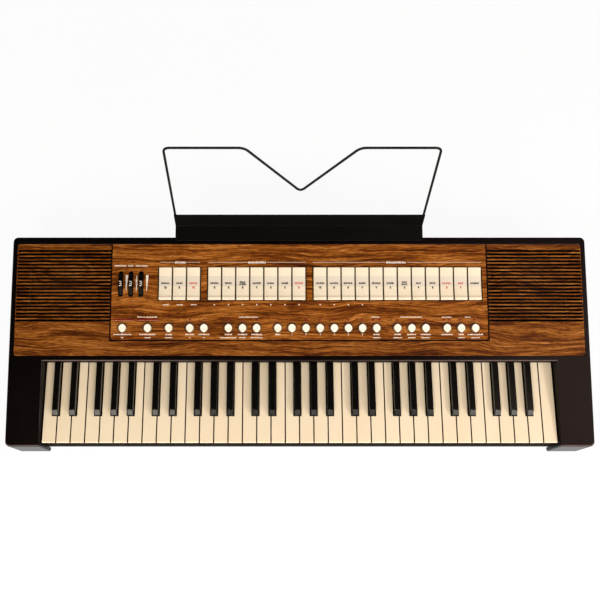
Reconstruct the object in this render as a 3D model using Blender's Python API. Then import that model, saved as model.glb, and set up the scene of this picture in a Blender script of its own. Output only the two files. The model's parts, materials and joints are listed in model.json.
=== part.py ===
"""A portable electronic organ: five octaves of keys, stop tabs, buttons and a music rest.

Lengths are in metres. X runs along the keyboard, Y from the player to the rear, Z up.
Everything is modelled with Y counted from the front of the cheeks and Z from the table,
and one empty then carries the whole organ to the middle of its own footprint.
What lies on the sloping top is modelled on a second empty, the deck, whose Y runs up the
slope and whose Z stands square to it.
"""
import math

import bmesh
import bpy
from mathutils import Matrix, Vector

# Case
CHEEK_WIDTH = 0.057
CASE_FRONT_HEIGHT = 0.079
DECK_SLOPE = math.radians(7.5)
CASE_WALL = 0.003
CASE_TOP = 0.006
CASE_BOTTOM = 0.003
CASE_CORNER = 0.008
CASE_EDGE = 0.0025
SEAT_GAP = 0.0003

# Keyboard
KEY_PITCH = 0.0235
OCTAVES = 5
KEY_GAP = 0.0013
KEY_FRONT = 0.0068
KEY_TOP = 0.073
KEY_SKIRT = 0.017
KEY_WALL = 0.0016
KEY_EDGE = 0.0012
KEY_BACK = 0.142
KEY_BODY_HEIGHT = 0.012
SKIRT_DEPTH = 0.010
SHARP_FRONT = 0.0515
SHARP_RISE = 0.012
SHARP_WIDTH = 0.0116
SHARP_TOP_WIDTH = 0.0096
SHARP_SLOT = 0.0137
SHARP_NOSE = 0.004
SHARP_FRONT_RUN = 0.0075
SHARP_EDGE = 0.0009
SHARP_DEPTH = 0.010
KEYS_SIDE_GAP = 0.001

# Hinge rails of the moulded key sets, one behind the other
HINGE_FIRST = 0.200
HINGE_STEP = 0.009
HINGE_HEIGHT = 0.062
HINGE_RADIUS = 0.003
ARM_WIDTH = 0.008
ARM_BOTTOM = 0.0668
ARM_TOP = 0.0715

# Key frame
FRAME_FLOOR = 0.026
FRAME_SHEET = 0.003
FRAME_FRONT = 0.016
FRAME_STOP_HEIGHT = 0.044
FRAME_STOP_DEPTH = 0.010
CRADLE_WIDTH = 0.012

# Lip over the keys and fascia, measured up the slope from the front edge
LIP_FRONT = 0.1385
LIP_CLEARANCE = 0.002
FASCIA_FRONT_BORDER = 0.0091
FASCIA_REAR_BORDER = 0.0124
FASCIA_SIDE_BORDER = 0.0083
FASCIA_THICKNESS = 0.003
FASCIA_CORNER = 0.004
LEDGE = 0.0035

# Control panel
PANEL_END_MARGIN = 0.0093
PANEL_STRIP = 0.0254
PANEL_CORNER = 0.005
PANEL_GROOVE = 0.0013
REBATE_INNER = 0.0035
REBATE_OUTER = 0.006
REBATE_THICKNESS = 0.0025

# Grilles
GRILLE_SLOTS = 21
GRILLE_PITCH = 0.00588
GRILLE_SLOT = 0.0029
GRILLE_REAR_MARGIN = 0.0115
GRILLE_END = 0.0009
GRILLE_RIBS = 2
GRILLE_RIB_WIDTH = 0.002
GRILLE_RIB_DEPTH = 0.004

# Stop tabs
TAB_PITCH = 0.0235
TAB_LEFT_COUNT = 3
TAB_MIDDLE_COUNT = 7
TAB_RIGHT_COUNT = 12
TAB_RIGHT_START = 0.0230
TAB_GROUP_SPACE = 0.0117
TAB_REAR_MARGIN = 0.0399
TAB_GAP = 0.0012
TAB_SETBACK = 0.0682
TAB_LENGTH = 0.0545
TAB_AXIS_DEPTH = 0.0036
TAB_CROWN = 0.0012
TAB_HOLLOW = 0.0014
TAB_LIP = 0.0056
TAB_WALL = 0.0014
TAB_CLEARANCE = 0.0016
TAB_RAIL_RADIUS = 0.0028
TAB_SADDLE_GAP = 0.0004
TAB_CHEEK = 0.0030
TAB_CHEEK_LENGTH = 0.014
TAB_RAIL_DROP = 0.004
TAB_STEPS = 5

# Push buttons
BUTTON_PITCH = 0.0234
BUTTON_SETBACK = 0.0209
BUTTON_RADIUS = 0.0069
BUTTON_RISE = 0.0040
BUTTON_HOLE_GAP = 0.0005
BUTTON_EDGE = 0.0010
BUTTON_LEFT_FIRST = -0.2935
BUTTON_LEFT_SECOND = -0.2516
BUTTON_LEFT_THIRD = -0.2165
BUTTON_LEFT_PAIR = -0.1816
BUTTON_RHYTHM_START = -0.1176
BUTTON_MEMORY_START = -0.0357
BUTTON_VOICE_START = 0.1628
BUTTON_RIGHT_START = 0.2450
STRIP_WIDTH = 0.012
STRIP_THICKNESS = 0.002
STRIP_DROP = 0.0010

# Thumbwheels
WHEEL_SPACE = 0.0289
WHEEL_SETBACK = 0.00065
WHEEL_PITCH = 0.0170
WHEEL_COUNT = 3
WHEEL_RADIUS = 0.0240
WHEEL_WIDTH = 0.0070
WHEEL_AXIS_DEPTH = 0.0160
WHEEL_RIM = 0.0016
WHEEL_SLOT_LENGTH = 0.044
WHEEL_SLOT_GAP = 0.0006
WHEEL_STUB_RADIUS = 0.003
WHEEL_STUB_GAP = 0.0003
WHEEL_LUG_WIDTH = 0.0032
WHEEL_LUG_LENGTH = 0.014
WHEEL_STUB_LENGTH = 0.0045

# Boards, loudspeakers and supply
BOARD_THICKNESS = 0.0016
BOARD_DEPTH = 0.0150
BOARD_FRONT_MARGIN = 0.009
BOARD_REAR_MARGIN = 0.029
BOARD_SIDE_MARGIN = 0.0125
BOARD_NOTCH_REAR = 0.007
BOARD_NOTCH_WIDTH = 0.055
POST_RADIUS = 0.003
POST_SIDE_MARGIN = 0.0225
SPEAKER_RADIUS = 0.056
SPEAKER_DEPTH = 0.040
SPEAKER_PROFILE = (
    (0.0, 0.30), (0.28, 0.22), (0.82, 0.05), (0.92, 0.0), (1.0, 0.0), (1.0, 0.08),
    (0.88, 0.12), (0.55, 0.60), (0.62, 0.62), (0.62, 1.0), (0.0, 1.0),
)
SPEAKER_SEAT_GAP = 0.0006

# Base
BASE_TOP = 0.014
BASE_SHEET = 0.002
BASE_FRONT = 0.007
BASE_LIP_HEIGHT = 0.044
FOOT_RADIUS = 0.011
FOOT_SIDE_INSET = 0.041
FOOT_END_INSET = 0.030
STANDOFF_HEIGHT = 0.006
MAIN_BOARD_WIDTH = 0.220
MAIN_BOARD_LENGTH = 0.090
MAIN_BOARD_MIDDLE = -0.020
MAIN_BOARD_REAR_GAP = 0.019
STANDOFF_INSET = 0.008
CHIP_COUNT = 4
CHIP_WIDTH = 0.030
CHIP_LENGTH = 0.020
CHIP_HEIGHT = 0.004
SUPPLY_WIDTH = 0.065
SUPPLY_LENGTH = 0.050
SUPPLY_MIDDLE = -0.2675
SUPPLY_REAR_GAP = 0.033
SUPPLY_FOOT = 0.012
SUPPLY_HEIGHT = 0.045
SUPPLY_WINDING = 0.009

# Rear sockets
JACK_MIDDLE = 0.220
JACK_WIDTH = 0.220
JACK_HEIGHT = 0.038
JACK_LINE = 0.055
JACK_SHEET = 0.002
JACK_FLANGE = 0.006
JACK_FIRST = 0.140
JACK_PITCH = 0.022
JACK_COUNT = 3
JACK_NUT_RADIUS = 0.0065
JACK_HOLE_RADIUS = 0.0033
JACK_NUT_RISE = 0.0016
JACK_BODY = 0.018
DIN_FIRST = 0.210
DIN_PITCH = 0.024
DIN_COUNT = 2
DIN_RADIUS = 0.0085
DIN_WALL = 0.0013
DIN_WELL = 0.006
INLET_X = 0.270
INLET_WIDTH = 0.024
INLET_HEIGHT = 0.018
SWITCH_X = 0.306
SWITCH_WIDTH = 0.013
SWITCH_HEIGHT = 0.020
SWITCH_DEPTH = 0.012
SWITCH_GAP = 0.0005
SWITCH_LOW_RISE = 0.0024
SWITCH_WAIST_RISE = 0.0012
SWITCH_HIGH_RISE = 0.0038

# Music rest
REST_WIDTH = 0.416
REST_FLANGE_SEAT = 0.0065
REST_FLANGE_DEPTH = 0.0249
REST_LEAN = math.radians(12.0)
REST_PLATE_HEIGHT = 0.034
REST_SHEET = 0.0015
REST_TONGUE_X = 0.150
REST_TONGUE_WIDTH = 0.030
REST_TONGUE_LENGTH = 0.024
REST_SLOT_GAP = 0.0004
WIRE_RADIUS = 0.002
WIRE_HEIGHT = 0.2095
WIRE_FOOT = 0.004
WIRE_INSET = 0.002
WIRE_NOTCH_HALF = 0.086
WIRE_NOTCH_BOTTOM = 0.098
WIRE_BEND = 0.009

# Sides of round pieces
CAP_SIDES = 14
WHEEL_SIDES = 28
SPEAKER_SIDES = 20
RAIL_SIDES = 10
FOOT_SIDES = 16
SMALL_SIDES = 8
SOCKET_SIDES = 12

# Sizes that follow from the ones above
KEYS_WIDTH = (7 * OCTAVES + 1) * KEY_PITCH
KEYS_LEFT = -KEYS_WIDTH / 2
CHEEK_INNER = KEYS_WIDTH / 2 + KEYS_SIDE_GAP
CASE_WIDTH = 2 * (CHEEK_INNER + CHEEK_WIDTH)
TAB_MIDDLE_START = TAB_RIGHT_START - TAB_GROUP_SPACE - TAB_MIDDLE_COUNT * TAB_PITCH
TAB_LEFT_START = TAB_MIDDLE_START - TAB_GROUP_SPACE - TAB_LEFT_COUNT * TAB_PITCH
TAB_GROUPS = (
    (TAB_LEFT_START, TAB_LEFT_COUNT),
    (TAB_MIDDLE_START, TAB_MIDDLE_COUNT),
    (TAB_RIGHT_START, TAB_RIGHT_COUNT),
)
PANEL_WIDTH = 2 * (TAB_RIGHT_START + TAB_RIGHT_COUNT * TAB_PITCH + PANEL_END_MARGIN)
SLOPE_RISE = math.tan(DECK_SLOPE)
LIP_Y = LIP_FRONT * math.cos(DECK_SLOPE)
LIP_BOTTOM = KEY_TOP + SHARP_RISE + LIP_CLEARANCE
FASCIA_WIDTH = CASE_WIDTH - 2 * FASCIA_SIDE_BORDER
FASCIA_FRONT = LIP_FRONT + FASCIA_FRONT_BORDER
PANEL_FRONT = FASCIA_FRONT + PANEL_STRIP
PANEL_UNDERSIDE = -FASCIA_THICKNESS
BUTTON_LINE = PANEL_FRONT + BUTTON_SETBACK
TAB_FRONT = PANEL_FRONT + TAB_SETBACK
TAB_REAR = TAB_FRONT + TAB_LENGTH
TAB_LINE = TAB_FRONT + TAB_LENGTH / 2
TAB_AXIS = -TAB_AXIS_DEPTH - TAB_RAIL_DROP
WHEEL_LINE = TAB_LINE - WHEEL_SETBACK
WHEEL_LAST = TAB_LEFT_START - WHEEL_SPACE
WHEEL_FIRST = WHEEL_LAST - (WHEEL_COUNT - 1) * WHEEL_PITCH
FASCIA_REAR = TAB_REAR + TAB_REAR_MARGIN
DECK_REAR = FASCIA_REAR + FASCIA_REAR_BORDER
CASE_DEPTH = DECK_REAR * math.cos(DECK_SLOPE)
GRILLE_LAST = FASCIA_REAR - GRILLE_REAR_MARGIN
GRILLE_FIRST = GRILLE_LAST - (GRILLE_SLOTS - 1) * GRILLE_PITCH
SPEAKER_X = (PANEL_WIDTH + FASCIA_WIDTH) / 4
SPEAKER_LINE = (GRILLE_FIRST + GRILLE_LAST) / 2
REST_FLANGE_FRONT = DECK_REAR - REST_FLANGE_SEAT
REST_FOLD = REST_FLANGE_FRONT + REST_FLANGE_DEPTH
REAR_INSIDE = CASE_DEPTH - CASE_WALL - SEAT_GAP
WIRE_OFFSET = REST_SHEET + SEAT_GAP + WIRE_RADIUS
FOLD_Y = REST_FOLD * math.cos(DECK_SLOPE)
FOLD_Z = CASE_FRONT_HEIGHT + REST_FOLD * math.sin(DECK_SLOPE)
WHOLE_DEPTH = (
    FOLD_Y
    + WIRE_OFFSET * math.cos(REST_LEAN)
    + WIRE_HEIGHT * math.sin(REST_LEAN)
    + WIRE_RADIUS
)
THROUGH = 0.050


def button_row(start, count):
    return tuple(start + index * BUTTON_PITCH for index in range(count))


BUTTON_STRIPS = (
    ("buttons_left", (BUTTON_LEFT_FIRST, BUTTON_LEFT_SECOND, BUTTON_LEFT_THIRD,
                      *button_row(BUTTON_LEFT_PAIR, 2))),
    ("buttons_rhythm", button_row(BUTTON_RHYTHM_START, 3)),
    ("buttons_memory", button_row(BUTTON_MEMORY_START, 8)),
    ("buttons_voice", button_row(BUTTON_VOICE_START, 3)),
    ("buttons_right", button_row(BUTTON_RIGHT_START, 3)),
)

def clear_scene():
    for thing in list(bpy.data.objects):
        bpy.data.objects.remove(thing, do_unlink=True)


def make_material(name, colour, roughness, metallic=0.0):
    material = bpy.data.materials.new(name)
    material.use_nodes = True
    shader = material.node_tree.nodes["Principled BSDF"]
    shader.inputs["Base Color"].default_value = (*colour, 1.0)
    shader.inputs["Roughness"].default_value = roughness
    shader.inputs["Metallic"].default_value = metallic
    return material


def make_collection(name):
    collection = bpy.data.collections.new(name)
    bpy.context.scene.collection.children.link(collection)
    return collection


def make_empty(name, location=(0, 0, 0), parent=None, tilt=0.0):
    empty = bpy.data.objects.new(name, None)
    empty.location = location
    empty.rotation_euler = (tilt, 0, 0)
    empty.parent = parent
    ORGAN.objects.link(empty)
    return empty


def finish_mesh(name, bm, collection):
    bmesh.ops.recalc_face_normals(bm, faces=bm.faces)
    mesh = bpy.data.meshes.new(name)
    bm.to_mesh(mesh)
    bm.free()
    thing = bpy.data.objects.new(name, mesh)
    collection.objects.link(thing)
    return thing


def add_part(name, bm, material, parent, location=(0, 0, 0)):
    """Turn a bmesh into one named piece, whose points are given from `location`."""
    part = finish_mesh(name, bm, ORGAN)
    part.data.materials.append(material)
    part.location = location
    part.parent = parent
    return part


def add_tool(name, bm, parent, location=(0, 0, 0)):
    """Turn a bmesh into a hidden body that cuts a piece or is joined to it."""
    tool = finish_mesh(name, bm, TOOLS)
    tool.location = location
    tool.parent = parent
    tool.hide_render = True
    tool.display_type = "WIRE"
    return tool


def combine(part, tool, operation):
    step = part.modifiers.new(tool.name, "BOOLEAN")
    step.operation = operation
    step.solver = "EXACT"
    step.use_self = True
    step.object = tool


def cut(part, tool):
    combine(part, tool, "DIFFERENCE")


def join(part, tool):
    combine(part, tool, "UNION")


def shade_round(part, angle=math.radians(35)):
    part.data.shade_smooth()
    part.data.set_sharp_from_angle(angle=angle)


def add_box(bm, x, y, z):
    """Add a box between the two values of each pair."""
    size = Vector((x[1] - x[0], y[1] - y[0], z[1] - z[0]))
    middle = Vector((x[0] + x[1], y[0] + y[1], z[0] + z[1])) / 2
    place = Matrix.Translation(middle) @ Matrix.Diagonal((*size, 1.0))
    return bmesh.ops.create_cube(bm, size=1.0, matrix=place)["verts"]


def add_rod(bm, radius, start, end, sides):
    """Add a cylinder from one point to another."""
    start = Vector(start)
    end = Vector(end)
    along = end - start
    turn = along.to_track_quat("Z", "Y").to_matrix().to_4x4()
    place = Matrix.Translation((start + end) / 2) @ turn
    bmesh.ops.create_cone(
        bm, cap_ends=True, segments=sides, radius1=radius, radius2=radius,
        depth=along.length, matrix=place,
    )


def add_prism(bm, outline, low, high, axis="Z"):
    """Add a flat outline drawn out along an axis, from `low` to `high`."""
    if axis == "Z":
        points = [(a, b, low) for a, b in outline]
        step = (0, 0, high - low)
    else:
        points = [(low, a, b) for a, b in outline]
        step = (high - low, 0, 0)
    face = bm.faces.new([bm.verts.new(point) for point in points])
    grown = bmesh.ops.extrude_face_region(bm, geom=[face])["geom"]
    moved = [item for item in grown if isinstance(item, bmesh.types.BMVert)]
    bmesh.ops.translate(bm, verts=moved, vec=step)
    return moved


def rounded(points, radii, steps=4):
    """Round each corner of a closed outline by its own radius, with an arc of `steps` chords."""
    outline = []
    count = len(points)
    for index, radius in enumerate(radii):
        corner = Vector(points[index])
        if radius == 0:
            outline.append(tuple(corner))
            continue
        before = (Vector(points[index - 1]) - corner).normalized()
        after = (Vector(points[(index + 1) % count]) - corner).normalized()
        half = before.angle(after) / 2
        centre = corner + (before + after).normalized() * (radius / math.sin(half))
        start = corner + before * (radius / math.tan(half)) - centre
        sweep = start.angle_signed(corner + after * (radius / math.tan(half)) - centre)
        for step in range(steps + 1):
            turn = Matrix.Rotation(-sweep * step / steps, 2)
            outline.append(tuple(centre + turn @ start))
    return outline


def rectangle(x0, x1, y0, y1):
    return [(x0, y0), (x1, y0), (x1, y1), (x0, y1)]


def deck_height(y):
    """Height of the sloping top over the table, at a distance from the front."""
    return CASE_FRONT_HEIGHT + y * SLOPE_RISE


def slice_above(bm, drop):
    """Take away what lies above a plane `drop` under the sloping top, and close the cut."""
    normal = (0, -math.sin(DECK_SLOPE), math.cos(DECK_SLOPE))
    point = (0, 0, CASE_FRONT_HEIGHT - drop / math.cos(DECK_SLOPE))
    everything = bm.verts[:] + bm.edges[:] + bm.faces[:]
    sliced = bmesh.ops.bisect_plane(
        bm, geom=everything, plane_co=point, plane_no=normal, clear_outer=True,
    )
    rim = [item for item in sliced["geom_cut"] if isinstance(item, bmesh.types.BMEdge)]
    return bmesh.ops.edgeloop_fill(bm, edges=rim)["faces"]


def case_outline(inset, notch_inset):
    """Plan of the case: a rectangle with a bay for the keys, drawn in by the wall."""
    side = CASE_WIDTH / 2 - inset
    bay = CHEEK_INNER + notch_inset
    front = inset
    rear = CASE_DEPTH - inset
    lip = LIP_Y + notch_inset
    points = [
        (-side, front), (-bay, front), (-bay, lip), (bay, lip),
        (bay, front), (side, front), (side, rear), (-side, rear),
    ]
    big = CASE_CORNER - inset
    small = CASE_EDGE
    return rounded(points, [big, small, 0, 0, small, big, big, big])


def make_top_case():
    """The black moulding: two cheeks, the lip over the keys, the border and the outer walls."""
    bm = bmesh.new()
    tall = deck_height(CASE_DEPTH) + THROUGH
    add_prism(bm, case_outline(0.0, 0.0), CASE_BOTTOM, tall)
    top = slice_above(bm, 0.0)
    rim = list({edge for face in top for edge in face.edges})
    bmesh.ops.bevel(
        bm, geom=rim, offset=CASE_EDGE, segments=2, profile=0.5, affect="EDGES",
        clamp_overlap=True,
    )
    case = add_part("top_case", bm, BLACK_MOULDING, ORIGIN)

    hollow = bmesh.new()
    add_prism(hollow, case_outline(CASE_WALL, CASE_WALL), CASE_BOTTOM - THROUGH, tall)
    slice_above(hollow, CASE_TOP)
    cut(case, add_tool("case_hollow", hollow, ORIGIN))

    bay = bmesh.new()
    add_box(bay, (-CHEEK_INNER, CHEEK_INNER), (LIP_Y - THROUGH, LIP_Y + THROUGH),
            (CASE_BOTTOM - THROUGH, LIP_BOTTOM))
    floor = BASE_TOP + SEAT_GAP
    behind_slip = BASE_FRONT - SEAT_GAP
    for side in (-1, 1):
        inner = side * (CHEEK_INNER - KEYS_SIDE_GAP)
        outer = side * (CHEEK_INNER + CASE_WALL + SEAT_GAP)
        add_box(bay, sorted((inner, outer)), (behind_slip, LIP_Y + CASE_WALL + SEAT_GAP),
                (CASE_BOTTOM - THROUGH, floor))
    cut(case, add_tool("case_key_bay", bay, ORIGIN))

    window = bmesh.new()
    half = FASCIA_WIDTH / 2
    outline = rounded(rectangle(-half, half, FASCIA_FRONT, FASCIA_REAR), [FASCIA_CORNER] * 4)
    add_prism(window, outline, -FASCIA_THICKNESS - SEAT_GAP, THROUGH)
    inner = rectangle(-half + LEDGE, half - LEDGE, FASCIA_FRONT + LEDGE, FASCIA_REAR - LEDGE)
    add_prism(window, inner, -THROUGH / 3, 0.0)
    cut(case, add_tool("case_fascia_window", window, DECK))

    rear = bmesh.new()
    add_box(rear, (JACK_MIDDLE - JACK_WIDTH / 2, JACK_MIDDLE + JACK_WIDTH / 2),
            (CASE_DEPTH - THROUGH / 3, CASE_DEPTH + THROUGH),
            (JACK_LINE - JACK_HEIGHT / 2, JACK_LINE + JACK_HEIGHT / 2))
    cut(case, add_tool("case_socket_window", rear, ORIGIN))

    slots = bmesh.new()
    for side in (-1, 1):
        add_rest_tongue(slots, side, REST_SLOT_GAP, THROUGH / 2)
    cut(case, add_tool("case_rest_slots", slots, DECK))
    shade_round(case)


def add_rest_tongue(bm, side, gap, top):
    """A flat tongue of the music rest, or with a gap, the slot that takes it."""
    middle = side * REST_TONGUE_X
    half = REST_TONGUE_WIDTH / 2 + gap
    add_box(bm, (middle - half, middle + half),
            (REST_FLANGE_FRONT - gap, REST_FLANGE_FRONT + REST_SHEET + gap),
            (-REST_TONGUE_LENGTH - gap, top))


def main_board_sides():
    """Left, right, front and rear side of the sound board."""
    rear = CASE_DEPTH - MAIN_BOARD_REAR_GAP
    half = MAIN_BOARD_WIDTH / 2
    return MAIN_BOARD_MIDDLE - half, MAIN_BOARD_MIDDLE + half, rear - MAIN_BOARD_LENGTH, rear


def make_base_pan():
    """The folded floor: a tray with a front lip under the keys, feet and standoffs."""
    bm = bmesh.new()
    half = CASE_WIDTH / 2 - CASE_WALL - SEAT_GAP
    bottom = BASE_TOP - BASE_SHEET
    bay = CHEEK_INNER - KEYS_SIDE_GAP
    corner = CASE_CORNER - CASE_WALL
    plan = rounded(rectangle(-half, half, BASE_FRONT, REAR_INSIDE), [0, 0, corner, corner])
    add_prism(bm, plan, bottom, BASE_TOP)
    pan = add_part("base_pan", bm, PAINTED_STEEL, ORIGIN)

    extras = bmesh.new()
    add_box(extras, (-bay, bay), (BASE_FRONT, BASE_FRONT + BASE_SHEET), (bottom, BASE_LIP_HEIGHT))
    foot = CASE_WIDTH / 2 - FOOT_SIDE_INSET
    for x in (-foot, foot):
        for y in (FOOT_END_INSET, CASE_DEPTH - FOOT_END_INSET):
            add_rod(extras, FOOT_RADIUS, (x, y, 0), (x, y, BASE_TOP - BASE_SHEET / 2), FOOT_SIDES)
    left, right, front, rear = main_board_sides()
    for x in (left + STANDOFF_INSET, right - STANDOFF_INSET):
        for y in (front + STANDOFF_INSET, rear - STANDOFF_INSET):
            add_rod(extras, POST_RADIUS, (x, y, bottom + BASE_SHEET / 2),
                    (x, y, BASE_TOP + STANDOFF_HEIGHT), SMALL_SIDES)
    join(pan, add_tool("base_lip_and_feet", extras, ORIGIN))
    shade_round(pan)


def fascia_slots(bm, side, gap=0.0):
    """The row of grille slots at one side, as cutting boxes."""
    outer = FASCIA_WIDTH / 2 - SEAT_GAP - GRILLE_END
    inner = PANEL_WIDTH / 2 + GRILLE_END
    span = sorted((side * inner, side * outer))
    for row in range(GRILLE_SLOTS):
        middle = GRILLE_FIRST + row * GRILLE_PITCH
        add_box(bm, span, (middle - GRILLE_SLOT / 2, middle + GRILLE_SLOT / 2),
                (-FASCIA_THICKNESS - gap, THROUGH / 10))


def make_fascia():
    """The veneered board: two grilles and a strip under the control panel."""
    half = FASCIA_WIDTH / 2 - SEAT_GAP
    front = FASCIA_FRONT + SEAT_GAP
    rear = FASCIA_REAR - SEAT_GAP
    notch = PANEL_WIDTH / 2
    points = [
        (-half, front), (half, front), (half, rear), (notch, rear), (notch, PANEL_FRONT),
        (-notch, PANEL_FRONT), (-notch, rear), (-half, rear),
    ]
    outer = FASCIA_CORNER
    radii = [outer, outer, outer, 0, PANEL_CORNER, PANEL_CORNER, 0, outer]
    bm = bmesh.new()
    add_prism(bm, rounded(points, radii, 3), -FASCIA_THICKNESS, 0.0)
    fascia = add_part("fascia_panel", bm, WALNUT, DECK)

    slots = bmesh.new()
    for side in (-1, 1):
        fascia_slots(slots, side, THROUGH / 10)
    cut(fascia, add_tool("grille_slots", slots, DECK))

    backing = bmesh.new()
    low = -FASCIA_THICKNESS - REBATE_THICKNESS
    rebate_rear = FASCIA_REAR - LEDGE - 2 * SEAT_GAP
    into = FASCIA_THICKNESS / 2
    for side in (-1, 1):
        span = sorted((side * (notch - REBATE_INNER), side * (notch + REBATE_OUTER)))
        add_box(backing, span, (PANEL_FRONT - REBATE_OUTER, rebate_rear),
                (low, -FASCIA_THICKNESS - SEAT_GAP))
        add_box(backing, sorted((side * (notch + GRILLE_END / 2), side * (notch + REBATE_OUTER))),
                (PANEL_FRONT - REBATE_OUTER, GRILLE_FIRST - GRILLE_PITCH), (low, -into))
        add_ribs(backing, side, notch)
    add_box(backing, (-notch, notch), (PANEL_FRONT - REBATE_OUTER, PANEL_FRONT + REBATE_INNER),
            (low, -FASCIA_THICKNESS - SEAT_GAP))
    add_box(backing, (-notch, notch), (PANEL_FRONT - REBATE_OUTER, PANEL_FRONT - PANEL_GROOVE),
            (low, -into))
    join(fascia, add_tool("fascia_backing", backing, DECK))
    shade_round(fascia)


def add_ribs(bm, side, notch):
    """Upright ribs behind a grille, which carry its bars."""
    span = FASCIA_WIDTH / 2 - notch
    for rib in range(GRILLE_RIBS):
        middle = side * (notch + span * (rib + 1) / (GRILLE_RIBS + 1))
        add_box(bm, (middle - GRILLE_RIB_WIDTH / 2, middle + GRILLE_RIB_WIDTH / 2),
                (GRILLE_FIRST - GRILLE_PITCH, GRILLE_FIRST + GRILLE_SLOTS * GRILLE_PITCH),
                (-FASCIA_THICKNESS - GRILLE_RIB_DEPTH, -FASCIA_THICKNESS))


def tab_window(start, count):
    """The opening of one group of tabs: its two ends along X, and front and rear."""
    side = TAB_CLEARANCE - TAB_GAP / 2
    return (
        (start - side, start + count * TAB_PITCH + side),
        (TAB_FRONT - TAB_CLEARANCE, TAB_REAR + TAB_CLEARANCE),
    )


def make_control_panel():
    """The plate that carries tabs, buttons and thumbwheels, with the rails they turn on."""
    half = PANEL_WIDTH / 2 - PANEL_GROOVE
    front = PANEL_FRONT + PANEL_GROOVE
    rear = FASCIA_REAR - SEAT_GAP
    points = [(-half, front), (half, front), (half, rear), (-half, rear)]
    bm = bmesh.new()
    add_prism(bm, rounded(points, [PANEL_CORNER, PANEL_CORNER, 0, 0], 3), -FASCIA_THICKNESS, 0.0)
    panel = add_part("control_panel", bm, WALNUT, DECK)

    holes = bmesh.new()
    for start, count in TAB_GROUPS:
        across, along = tab_window(start, count)
        add_box(holes, across, along, (-THROUGH / 10, THROUGH / 10))
    for _, places in BUTTON_STRIPS:
        for x in places:
            add_rod(holes, BUTTON_RADIUS + BUTTON_HOLE_GAP, (x, BUTTON_LINE, -THROUGH / 10),
                    (x, BUTTON_LINE, THROUGH / 10), CAP_SIDES)
    for index in range(WHEEL_COUNT):
        add_wheel_slot(holes, WHEEL_FIRST + index * WHEEL_PITCH)
    cut(panel, add_tool("panel_holes", holes, DECK))

    rails = bmesh.new()
    for start, count in TAB_GROUPS:
        across, _ = tab_window(start, count)
        add_rod(rails, TAB_RAIL_RADIUS, (across[0] - TAB_CHEEK / 2, TAB_LINE, TAB_AXIS),
                (across[1] + TAB_CHEEK / 2, TAB_LINE, TAB_AXIS), RAIL_SIDES)
        for end, way in ((across[0], -1), (across[1], 1)):
            add_box(rails, sorted((end, end + way * TAB_CHEEK)),
                    (TAB_LINE - TAB_CHEEK_LENGTH / 2, TAB_LINE + TAB_CHEEK_LENGTH / 2),
                    (TAB_AXIS - TAB_RAIL_RADIUS, PANEL_UNDERSIDE / 2))
    for index in range(WHEEL_COUNT + 1):
        x = WHEEL_FIRST + (index - 0.5) * WHEEL_PITCH
        add_box(rails, (x - WHEEL_LUG_WIDTH / 2, x + WHEEL_LUG_WIDTH / 2),
                (WHEEL_LINE - WHEEL_LUG_LENGTH / 2, WHEEL_LINE + WHEEL_LUG_LENGTH / 2),
                (-WHEEL_AXIS_DEPTH - WHEEL_LUG_LENGTH / 2, PANEL_UNDERSIDE / 2))
    join(panel, add_tool("panel_rails_and_lugs", rails, DECK))

    bores = bmesh.new()
    add_rod(bores, WHEEL_STUB_RADIUS + WHEEL_STUB_GAP,
            (WHEEL_FIRST - WHEEL_PITCH, WHEEL_LINE, -WHEEL_AXIS_DEPTH),
            (WHEEL_LAST + WHEEL_PITCH, WHEEL_LINE, -WHEEL_AXIS_DEPTH), SOCKET_SIDES)
    cut(panel, add_tool("wheel_lug_bores", bores, DECK))
    shade_round(panel)


def add_wheel_slot(bm, x):
    """A long slot with round ends, as a cutting prism."""
    half = WHEEL_WIDTH / 2 + WHEEL_SLOT_GAP
    reach = WHEEL_SLOT_LENGTH / 2
    outline = rounded(
        rectangle(x - half, x + half, WHEEL_LINE - reach, WHEEL_LINE + reach), [half * 0.98] * 4, 3)
    add_prism(bm, outline, -THROUGH / 10, THROUGH / 10)


def tab_profile():
    """Side view of a tab from its axis: hollowed top, raised front lip and open saddle."""
    half = TAB_LENGTH / 2
    top = TAB_AXIS_DEPTH + TAB_RAIL_DROP
    under = top - TAB_AXIS_DEPTH
    saddle = TAB_RAIL_RADIUS + TAB_SADDLE_GAP
    points = []
    hollow_start = -half + TAB_LIP
    for step in range(TAB_STEPS + 1):
        share = step / TAB_STEPS
        y = hollow_start + share * (half - hollow_start)
        sag = TAB_HOLLOW * math.sin(math.pi * share)
        points.append((y, top + TAB_CROWN - sag))
    points.append((half, under - TAB_CROWN))
    points.append((saddle + TAB_WALL, under - TAB_CROWN))
    points.append((saddle + TAB_WALL, 0.0))
    for step in range(TAB_STEPS + 1):
        angle = math.pi * step / TAB_STEPS
        points.append((saddle * math.cos(angle), saddle * math.sin(angle)))
    points.append((-saddle - TAB_WALL, 0.0))
    points.append((-saddle - TAB_WALL, under - TAB_CROWN))
    points.append((-half, under - TAB_CROWN))
    points.append((-half, top + TAB_CROWN * 0.6))
    points.append((-half + TAB_CROWN, top + TAB_CROWN * 1.6))
    points.append((hollow_start - TAB_CROWN, top + TAB_CROWN * 1.6))
    return points


def make_tabs():
    """The cream stop tabs, each rocking on the rail under its own group."""
    number = 0
    for start, count in TAB_GROUPS:
        for index in range(count):
            number += 1
            x = start + (index + 0.5) * TAB_PITCH
            half = (TAB_PITCH - TAB_GAP) / 2
            bm = bmesh.new()
            add_prism(bm, tab_profile(), -half, half, "X")
            place = (x, TAB_LINE, TAB_AXIS)
            tab = add_part(f"stop_tab_{number:02d}", bm, CREAM_MOULDING, DECK, place)
            shade_round(tab)


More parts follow.
